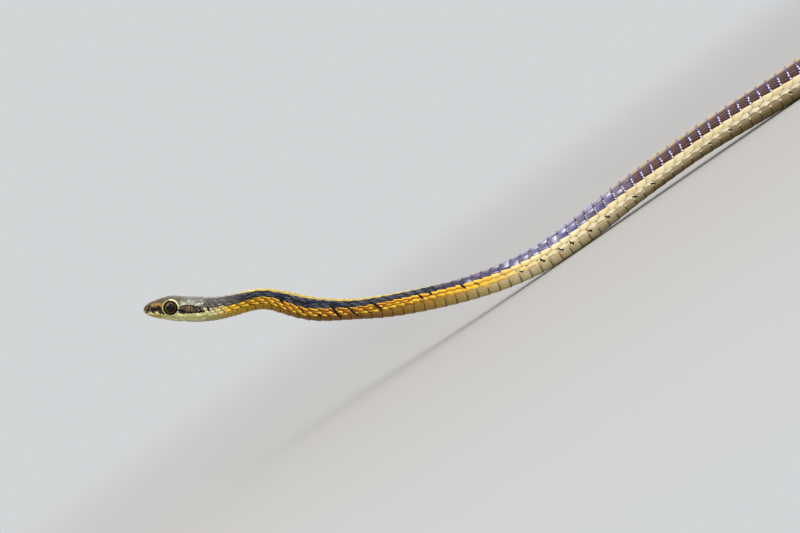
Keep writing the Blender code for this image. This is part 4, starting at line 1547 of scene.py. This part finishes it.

# %% [markdown]
# ## The colours of the animal
# The markings run lengthwise: a cream stripe along the spine, a dark band of narrow scales, gold on the
# lower side and a pale belly. Each turns to another colour from neck to trunk: the band from black to brown,
# the side from gold to cream. Between them the band and the stripe are lilac, which is a painted reflection
# of the sky on the glossy scales, and the belly is darker on the neck and from 186 mm on, which is painted
# shade under the body. One table holds them, by row and by distance, and both the skin and the scales read
# it, so that no gap between scales shows a wrong colour.

# %% Colours by row and distance
# The fact that tells where a marking is, and its colours at distances in millimetres: belly, side,
# band and stripe. Each covers the one before it, past its edge.
MARKINGS = [
    # Belly: the dark ochre and olive from 45 to 92 mm and from 186 mm on is painted shade under the body
    ("row", [(0, "#8A8658"), (22, "#B4AC70"), (28, "#B49C40"), (34, "#B48C14"), (45, "#986A06"),
             (60, "#7C5204"), (78, "#825608"), (92, "#967024"), (110, "#B09A58"), (130, "#D6CCA0"),
             (158, "#BCAE82"), (186, "#78643E"), (230, "#7E6A44"), (700, "#988A62"), (1050, "#94865E")]),
    ("row", [(0, "#A9AA6C"), (21, "#D0CA9A"), (25, "#DECE84"), (28, "#F6C018"), (44, "#EEA206"),
             (58, "#DA8002"), (80, "#DC8202"), (95, "#F69E06"), (112, "#FEBE20"), (128, "#FADC84"),
             (142, "#FCEEBA"), (170, "#F8EABA"), (215, "#EBDCB0"), (700, "#D8C596"), (1050, "#B9A67A")]),
    # Band: its lilac from 112 to 173 mm is a painted reflection of the sky on the dark scales
    ("level", [(0, "#4E3820"), (8, "#5B5138"), (14, "#66634C"), (20, "#7E7E74"), (25, "#524E4A"),
               (30, "#2E2A2B"), (36, "#121114"), (86, "#121118"), (98, "#201C28"), (112, "#3E394E"),
               (130, "#625D7E"), (150, "#726D94"), (173, "#706B92"), (177, "#50363A"), (200, "#40281F"),
               (700, "#3F2D24"), (1050, "#54432F")]),
    # Stripe: its lilac from 97 to 173 mm is a painted reflection of the sky
    ("over", [(0, "#54401F"), (8, "#5E523A"), (14, "#6A6650"), (20, "#7E7E74"), (24, "#66635A"),
              (29, "#8A8468"), (36, "#BEA440"), (85, "#B49C44"), (97, "#9A9080"), (112, "#8A8594"),
              (160, "#8A86A0"), (173, "#9A9088"), (180, "#A2906C"), (260, "#9E8C68"), (700, "#8E7A58"),
              (1050, "#7C6A4A")]),
]
EDGES = {"row": (0.45, 0.75), "level": (-1.5, 1.5), "over": (-1.5, 1.5)}
print("colours along the body:", sum(len(stops) for _, stops in MARKINGS))


# %% Read facts and mix colours
MULTIPLY = {"operation": "MULTIPLY"}
DIVIDE = {"operation": "DIVIDE"}
MIX_COLOURS = {"data_type": "RGBA"}
NOISE = {"Detail": 3.0, "Roughness": 0.6}


def body_colour(tree, facts):
    """Colour of the marking at a distance and a row."""
    share = node(tree, "ShaderNodeMath", DIVIDE, _0=facts["along"], _1=TOTAL).outputs[0]
    mixed = None
    for fact, stops in MARKINGS:
        ramp = node(tree, "ShaderNodeValToRGB", Fac=share)
        set_stops(ramp, [(distance / TOTAL, code) for distance, code in stops])
        if mixed is None:
            mixed = ramp.outputs["Color"]
            continue
        low, high = EDGES[fact]
        over = node(tree, "ShaderNodeMapRange", _0=facts[fact], _1=low, _2=high).outputs[0]
        mix = node(tree, "ShaderNodeMix", MIX_COLOURS, _0=over, _6=mixed, _7=ramp.outputs[0])
        mixed = mix.outputs[2]
    return mixed


def read_facts(tree, names, noises):
    """Sockets of the numbers stored on the mesh, and of noises of a size in millimetres."""
    facts = {}
    for name in names:
        facts[name] = node(tree, "ShaderNodeAttribute", {"attribute_name": name}).outputs["Fac"]
    place = node(tree, "ShaderNodeTexCoord").outputs["Object"]
    for name, grain in noises.items():
        noise = node(tree, "ShaderNodeTexNoise", Vector=place, Scale=1.0 / (grain * MM), **NOISE)
        facts[name] = noise.outputs["Fac"]
    return facts


def painted(tree, facts, under, layers):
    """Paint layers over a colour. A layer shows where all its facts are past their limits."""
    for code, strength, limits in layers:
        share = strength
        for name, start, end in limits:
            part = node(tree, "ShaderNodeMapRange", _0=facts[name], _1=start, _2=end).outputs[0]
            share = node(tree, "ShaderNodeMath", MULTIPLY, _0=part, _1=share).outputs[0]
        mix = node(tree, "ShaderNodeMix", MIX_COLOURS, _0=share, _6=under, _7=colour(code))
        under = mix.outputs[2]
    return under


# %% Grain and sheen of horn
# The noise's usual lowest and highest value, and how high the grain stands, in metres
GRAIN = (0.3, 0.7)
GRAIN_HEIGHT = 0.00003


def finish_horn(tree, shader, facts, base, light, rough, bump):
    """Give painted horn its fine grain, in lightness, gloss and relief, and its cool sheen."""
    grain = {"_0": facts["grain"], "_1": GRAIN[0], "_2": GRAIN[1]}
    value = node(tree, "ShaderNodeMapRange", **grain, _3=light[0], _4=light[1]).outputs[0]
    grained = node(tree, "ShaderNodeHueSaturation", Color=base, Value=value).outputs[0]
    gloss = node(tree, "ShaderNodeMapRange", **grain, _3=rough[0], _4=rough[1]).outputs[0]
    relief = node(
        tree, "ShaderNodeBump", Strength=bump, Distance=GRAIN_HEIGHT, Height=facts["grain"]).outputs[0]
    tree.links.new(grained, shader.inputs["Base Color"])
    tree.links.new(gloss, shader.inputs["Roughness"])
    tree.links.new(relief, shader.inputs["Normal"])
    shader.inputs["IOR"].default_value = 1.5
    shader.inputs["Specular IOR Level"].default_value = 0.22
    shader.inputs["Specular Tint"].default_value = colour("#ECECFF")
    print(len(tree.nodes), "nodes")


# %% [markdown]
# ## Keratin of the scales
# A scale is keratin, as a fingernail is: satin, with a small sharp highlight. No scale is of one colour. The
# gold scales of the neck have a painted highlight on their upper side and painted shade on their lower one,
# those of the dark band have black tips, and on the trunk the band turns lilac, a painted reflection of the
# sky, with a white tick that is a painted highlight, and belly plates end in a dark line, with a painted
# highlight on their upturned ends. Each of these is one layer of paint, which reads where on its scale a
# point is and where on the body the scale lies, so that one material serves all of them.

# %% Where layers of paint show
# A fact and two limits: the layer comes in between them, or fades out if the first is the higher
SIDE = [("row", 0.5, 0.7), ("level", 1.0, -1.0)]
BAND = [("level", -1.0, 1.0), ("over", 1.0, -1.0)]
STRIPE = [("over", -1.0, 1.0)]
NECK = [("along", 27.0, 35.0), ("along", 112.0, 98.0)]
# Where the band shows a painted reflection of the sky, in lilac, white and navy
MIDDLE = [("along", 100.0, 118.0), ("along", 178.0, 173.0)]
TRUNK = [("along", 173.0, 178.0)]
# Where white ticks stand at the tips of the band's scales, which are painted highlights
HIGHLIGHT_TICKS = [("along", 105.0, 182.0)]
NAPE = [("along", 18.0, 19.0), ("along", 34.0, 27.0), ("level", -3.0, -1.0), ("over", 2.0, 0.0)]
PLATE = [("row", 0.4, 0.3)]
print("the gold of the neck shows from", NECK[0][1], "to", NECK[1][1], "mm")

# %% Layers of paint on the scales
# Colour, strength, and where it shows, from the first layer to the last
SCALE_LAYERS = [
    # Pale rows of the side: gold on the neck, cream on the trunk, with a painted highlight on each scale's
    # upper side and painted shade on its lower side and on the lowest rows of the neck
    ("#FFF8D0", 0.45, [("chance", 0.4, 1.0), ("along", 110.0, 130.0)] + SIDE),
    ("#B07A22", 0.20, [("chance", 0.35, 0.0)] + SIDE),
    ("#FFCC20", 0.70, [("chance", 0.35, 0.8)] + NECK + SIDE),
    # Painted shade: the lowest rows of the neck are darker
    ("#6A3E02", 0.65, [("row", 1.9, 1.0)] + NECK + SIDE),
    # Painted highlight on the upper side of each scale
    ("#FFE04A", 0.95, [("side", 0.05, 0.6), ("along", 25.0, 28.0), ("along", 150.0, 120.0)] + SIDE),
    # Painted highlight, cream, on the upper side of the first scales behind the head
    ("#F4EFC4", 0.85, [("side", -0.1, 0.5), ("along", 29.0, 25.5)] + SIDE),
    # Painted shade on the lower side of each scale of the neck
    ("#6E3602", 0.85, [("side", 0.0, -0.6)] + NECK + SIDE),
    # Painted shade, a deeper orange, on the lower side of each scale of the forebody
    ("#C07010", 0.65, [("side", -0.1, -0.8), ("along", 84.0, 98.0), ("along", 140.0, 115.0)] + SIDE),
    ("#FBD35C", 0.60, [("row", 1.6, 1.8), ("along", 130.0, 175.0), ("side", -0.2, 0.7)] + SIDE),
    # Painted highlight, near white, on the upper side of each scale from the forebody on
    ("#FFF8E0", 0.65, [("side", 0.0, 0.8), ("along", 118.0, 140.0)] + SIDE),
    ("#C79A70", 0.50, [("tip", 0.45, 0.0), ("blotch", 0.47, 0.58), ("along", 125.0, 170.0)] + SIDE),
    ("#E0A02C", 0.30, [("tip", 0.50, 0.90), ("along", 95.0, 120.0), ("along", 185.0, 160.0)] + SIDE),
    ("#8A6A38", 0.55, [("tip", 0.88, 1.0)] + SIDE),
    ("#2E1A06", 0.85, [("tip", 0.80, 0.96)] + NECK + SIDE),
    ("#8E6C30", 0.25, [("edge", 0.84, 1.0)] + SIDE),
    # Belly plates: a painted highlight on their upturned ends, and a dark rear edge
    ("#E6D8B6", 0.75, [("edge", 0.62, 0.90), ("along", 105.0, 125.0), ("along", 300.0, 150.0)] + PLATE),
    ("#7E6E44", 0.70, [("edge", 0.945, 0.99), ("along", 84.0, 100.0)] + PLATE),
    ("#B98E4A", 0.35, [("edge", 0.45, 0.90), ("along", 135.0, 110.0), ("along", 60.0, 85.0)] + PLATE),
    ("#8F8A50", 0.35, [("tip", 0.35, 0.0)] + PLATE),
    ("#D8A840", 0.50, [("blotch", 0.50, 0.62), ("along", 80.0, 100.0), ("along", 165.0, 140.0)] + PLATE),
    ("#262A10", 0.95, [("tip", 0.89, 0.96)] + PLATE),
    # Dark band: black tips on the neck; lilac behind it, which is a painted reflection of the sky; and white
    # ticks on the trunk, which are painted highlights
    # Pale blue-grey on the lower side of the neck's dark scales: partly the skin between them, partly a
    # painted highlight
    ("#8C94A2", 0.75, [("side", -0.20, -0.90), ("tip", 0.80, 0.62), ("chance", 0.30, 0.50)] + NECK + BAND),
    ("#07070B", 0.90, [("tip", 0.66, 0.82)] + NECK + BAND),
    ("#3E3C54", 0.60, [("chance", 0.6, 0.9), ("tip", 0.3, 0.6)] + NECK + BAND),
    ("#242058", 0.55, [("chance", 0.30, 0.10), ("tip", 0.2, 0.5)] + NECK + BAND),
    # Painted reflection of the sky: white on some scales, navy on the lower rows
    ("#DCDCF0", 0.85, [("chance", 0.45, 0.80), ("tip", 0.25, 0.60)] + MIDDLE + BAND),
    ("#3A367C", 0.80, [("row", 4.6, 4.4), ("chance", 0.9, 0.3), ("tip", 0.1, 0.5)] + MIDDLE + BAND),
    ("#6A5A60", 0.60, [("chance", 0.35, 0.15)] + MIDDLE + BAND),
    ("#15132A", 0.95, [("tip", 0.76, 0.88)] + MIDDLE + BAND),
    ("#A89078", 0.65, [("edge", 0.66, 1.0)] + TRUNK + BAND),
    ("#5E2A3C", 0.50, [("blotch", 0.50, 0.60)] + TRUNK + BAND),
    ("#1E1826", 0.85, [("tip", 0.66, 0.80)] + TRUNK + BAND),
    ("#6C66AA", 0.95, [("tip", 0.78, 0.87)] + TRUNK + BAND),
    # Painted highlights: the white ticks
    ("#FAF9FF", 1.00, [("tip", 0.88, 0.94), ("edge", 0.9, 0.5), ("row", 5.5, 5.4)] + HIGHLIGHT_TICKS + BAND),
    # Nape: grey scales, with a painted highlight on their upper side and painted shade on their lower one
    ("#CDD0C8", 0.80, [("side", 0.0, 0.7), ("chance", 0.2, 0.6)] + NAPE),
    ("#75695A", 0.70, [("chance", 0.45, 0.25)] + NAPE),
    # Painted shade on the lower side of each scale of the nape
    ("#24201F", 0.90, [("side", -0.2, -0.8)] + NAPE),
    ("#24201F", 0.90, [("tip", 0.65, 0.95)] + NAPE),
    # Stripe along the spine, with darker tips and edges, and a painted highlight on its scales on the neck
    ("#6A543C", 0.60, [("over", 4.0, -1.0), ("along", 150.0, 180.0)] + STRIPE),
    ("#4A3624", 0.85, [("tip", 0.88, 0.98), ("along", 24.0, 50.0)] + STRIPE),
    ("#6E5636", 0.60, [("edge", 0.80, 0.98), ("along", 24.0, 60.0)] + STRIPE),
    # Painted highlight on the rear half of each scale of the stripe on the neck
    ("#F2DC70", 0.50, [("tip", 0.3, 0.7), ("along", 30.0, 38.0), ("along", 110.0, 90.0)] + STRIPE),
    ("#7C76B4", 0.80, [("tip", 0.74, 0.90), ("row", 7.5, 7.4)] + TRUNK + STRIPE),
    # Black bars, and the shade where a scale comes out from under the one before it
    ("#0C0A0E", 1.00, [("bar", -1.10, -0.85), ("bar", 1.10, 0.85), ("reach", -0.5, 0.5)]),
    ("#1A1410", 0.55, [("tip", 0.12, -0.1)]),
]
print(len(SCALE_LAYERS), "layers of paint on the scales")

# %% Smooth keratin
# Smooth keratin scales: satin, with a sharp small highlight and a faint grain of a fifth of a
# millimetre, which is coarser than the real one so that it shows
SCALE_FACTS = ("along", "row", "tip", "edge", "side", "level", "over", "chance", "bar", "reach")
keratin, tree, shader = new_material("smooth_keratin_scales")
facts = read_facts(tree, SCALE_FACTS, {"grain": 0.22, "blotch": 1.1})
base = painted(tree, facts, body_colour(tree, facts), SCALE_LAYERS)
finish_horn(tree, shader, facts, base, light=(0.78, 1.0), rough=(0.27, 0.40), bump=0.35)

# %% [markdown]
# ## Skin and head shields
# The head's shields are the same keratin in large thin plates, laid over skin that is a little
# duller. Their colours don't follow rows but features of the head, such as lips, nostril and brow,
# so the layers read the masks that the strokes have drawn. Where the pigment's edge is ragged on
# the animal, a fine noise is added to the mask before the layer reads it.

# %% Layers of paint on the head
# Colour, strength, and where it shows, from the first layer to the last
HEAD_ONLY = [("along", 22.0, 20.5)]
HEAD_LAYERS = [
    # Brown snout with a golden edge, and the fine mottling of the crown
    ("#553811", 0.90, [("along", 9.0, 4.0), ("row", 1.0, 1.6)]),
    ("#A98640", 0.80, [
        ("along", 2.2, 3.2), ("along", 7.4, 6.4), ("height", 1.2, 1.6), ("height", 2.7, 2.2),
    ]),
    ("#4C493C", 0.55, [("blotch", 0.50, 0.62)] + HEAD_ONLY),
    ("#A3A49C", 0.25, [("grain", 0.50, 0.70), ("height", 2.2, 3.4), ("along", 6.0, 11.0)] + HEAD_ONLY),
    # Painted reflection of the light on the temple, with dark mottling through it
    ("#A8AA9C", 0.85, [("temple_sheen", 0.1, 0.8)]),
    ("#55534A", 0.65, [("temple_sheen", 0.1, 0.8), ("blotch", 0.47, 0.56)]),
    # Lips and chin, with cream spots, and painted shade that darkens the chin
    ("#C2C27C", 1.00, [("lip", 0.2, 0.8)]),
    ("#E8E2AA", 0.75, [("lip", 0.2, 0.8), ("blotch", 0.47, 0.60)]),
    ("#C0A44A", 0.85, [("lip", 0.2, 0.8), ("along", 7.2, 5.6)]),
    # Painted shade on the chin
    ("#8A8A54", 0.80, [("chin", 0.2, 0.9)]),
    ("#D8D098", 0.50, [("chin", 0.2, 0.9), ("blotch", 0.52, 0.66)]),
    ("#F6EAC0", 0.95, [("cream", 0.25, 0.60)]),
    # Dark marks before and behind the eye, and painted highlights over them
    ("#150B05", 1.00, [("lore", 0.25, 0.60)]),
    ("#54422A", 1.00, [("patch", 0.35, 0.75)]),
    ("#160C08", 0.92, [("patch", 0.35, 0.75), ("blotch", 0.46, 0.56)]),
    ("#9C8C62", 0.75, [("patch", 0.5, 0.9), ("spots", 0.50, 0.60)]),
    ("#0A0706", 1.00, [("ink", 0.25, 0.60)]),
    ("#E4E8E4", 0.85, [("gleam", 0.40, 0.95)]),
    # Rings round the eye
    ("#B0A050", 0.90, [("brow", 0.2, 0.6)]),
    ("#F0E7BE", 0.95, [("rim", 0.2, 0.6)]),
    ("#A8965A", 0.80, [("rim", 0.2, 0.6), ("along", 8.6, 7.4)]),
    ("#140D08", 1.00, [("dark_rim", 0.3, 0.8)]),
    # Seams, and the skin between the first scales of the neck
    ("#2E2618", 0.60, [("seam", 0.35, 0.9)]),
    ("#242022", 0.70, [("along", 21.6, 23.0), ("row", 2.5, 2.8)]),
    ("#7A5A20", 0.60, [("along", 21.0, 23.0), ("row", 2.8, 2.5)]),
]
print(len(HEAD_LAYERS), "layers of paint on the head")

# %% Horny shields and skin
# Horny shields over skin: satin like a fingernail and a little duller than the scales, with fine
# dark seams that part the plates
HEAD_FACTS = (
    "along", "row", "level", "over", "height", "lip", "lore", "patch", "ink", "temple_sheen", "gleam",
    "cream", "rim", "brow", "dark_rim", "seam", "chin",
)
RAGGED = 1.2
MULTIPLY_ADD = {"operation": "MULTIPLY_ADD"}
SUBTRACT = {"operation": "SUBTRACT"}
shields, tree, shader = new_material("horny_shields_and_skin")
facts = read_facts(tree, HEAD_FACTS, {"grain": 0.25, "blotch": 1.3, "spots": 0.7})
for name in ("lore", "ink", "patch", "gleam", "cream"):
    frayed = node(
        tree, "ShaderNodeMath", MULTIPLY_ADD, _0=facts["spots"], _1=RAGGED, _2=facts[name]).outputs[0]
    facts[name] = node(tree, "ShaderNodeMath", SUBTRACT, _0=frayed, _1=RAGGED / 2.0).outputs[0]
base = painted(tree, facts, body_colour(tree, facts), HEAD_LAYERS)
finish_horn(tree, shader, facts, base, light=(0.76, 0.98), rough=(0.32, 0.46), bump=0.4)

# %% [markdown]
# ## Glass of the eyes
# A snake has no eyelids: a clear scale, fixed over the eye, keeps it wet and glossy. The rings of
# colour lie under it, so one material with a hard clear coat stands for both. The rings are a ramp
# on the distance from the middle of the pupil, in millimetres, and a noise lets them wander a
# little, because the edge of a real iris isn't drawn with compasses.

# %% Clear eye scale
# Clear fixed scale over a bronze iris: as glossy as glass, so it takes one sharp highlight
RINGS_END = 2.3
RINGS_WANDER = 0.05
EYE_RINGS = [
    (0.0, "#04040A"), (1.26, "#06060C"), (1.36, "#1E110B"), (1.62, "#2E1910"), (1.71, "#94703C"),
    (1.79, "#5C3E1E"), (1.88, "#140B06"), (2.04, "#080504"),
]
ADD = {"operation": "ADD"}
glass, tree, shader = new_material("clear_eye_scale")
facts = read_facts(tree, ("ring",), {"grain": 0.35})
wander = node(
    tree, "ShaderNodeMapRange", _0=facts["grain"], _1=GRAIN[0], _2=GRAIN[1], _3=-RINGS_WANDER,
    _4=RINGS_WANDER,
).outputs[0]
ring = node(tree, "ShaderNodeMath", ADD, _0=facts["ring"], _1=wander).outputs[0]
share = node(tree, "ShaderNodeMath", DIVIDE, _0=ring, _1=RINGS_END).outputs[0]
ramp = node(tree, "ShaderNodeValToRGB", Fac=share)
set_stops(ramp, [(radius / RINGS_END, code) for radius, code in EYE_RINGS])
tree.links.new(ramp.outputs["Color"], shader.inputs["Base Color"])
shader.inputs["Roughness"].default_value = 0.12
shader.inputs["IOR"].default_value = 1.38
shader.inputs["Specular IOR Level"].default_value = 0.1
shader.inputs["Coat Weight"].default_value = 0.6
shader.inputs["Coat Roughness"].default_value = 0.02
shader.inputs["Coat IOR"].default_value = 1.34
print(len(EYE_RINGS), "rings of colour")

# %% Put the materials on
for piece in scales:
    piece.data.materials.append(keratin)
skin.data.materials.append(shields)
for eye in eyes:
    eye.data.materials.append(glass)
print("materials:", keratin.name, shields.name, glass.name)

# %% [markdown]
# ## The pieces on the body
# Nothing on this animal is jointed, so every piece rides on the one body. The skin takes the place of all
# the plain solids of the flesh, and each glass eye that of its plain eye.

# %% Ride and replace
for piece in [skin] + scales + eyes:
    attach(piece, "root")
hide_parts(*[name for name in frame["nodes"] if not name.startswith("eye")])
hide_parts("eye_left")
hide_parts("eye_right")
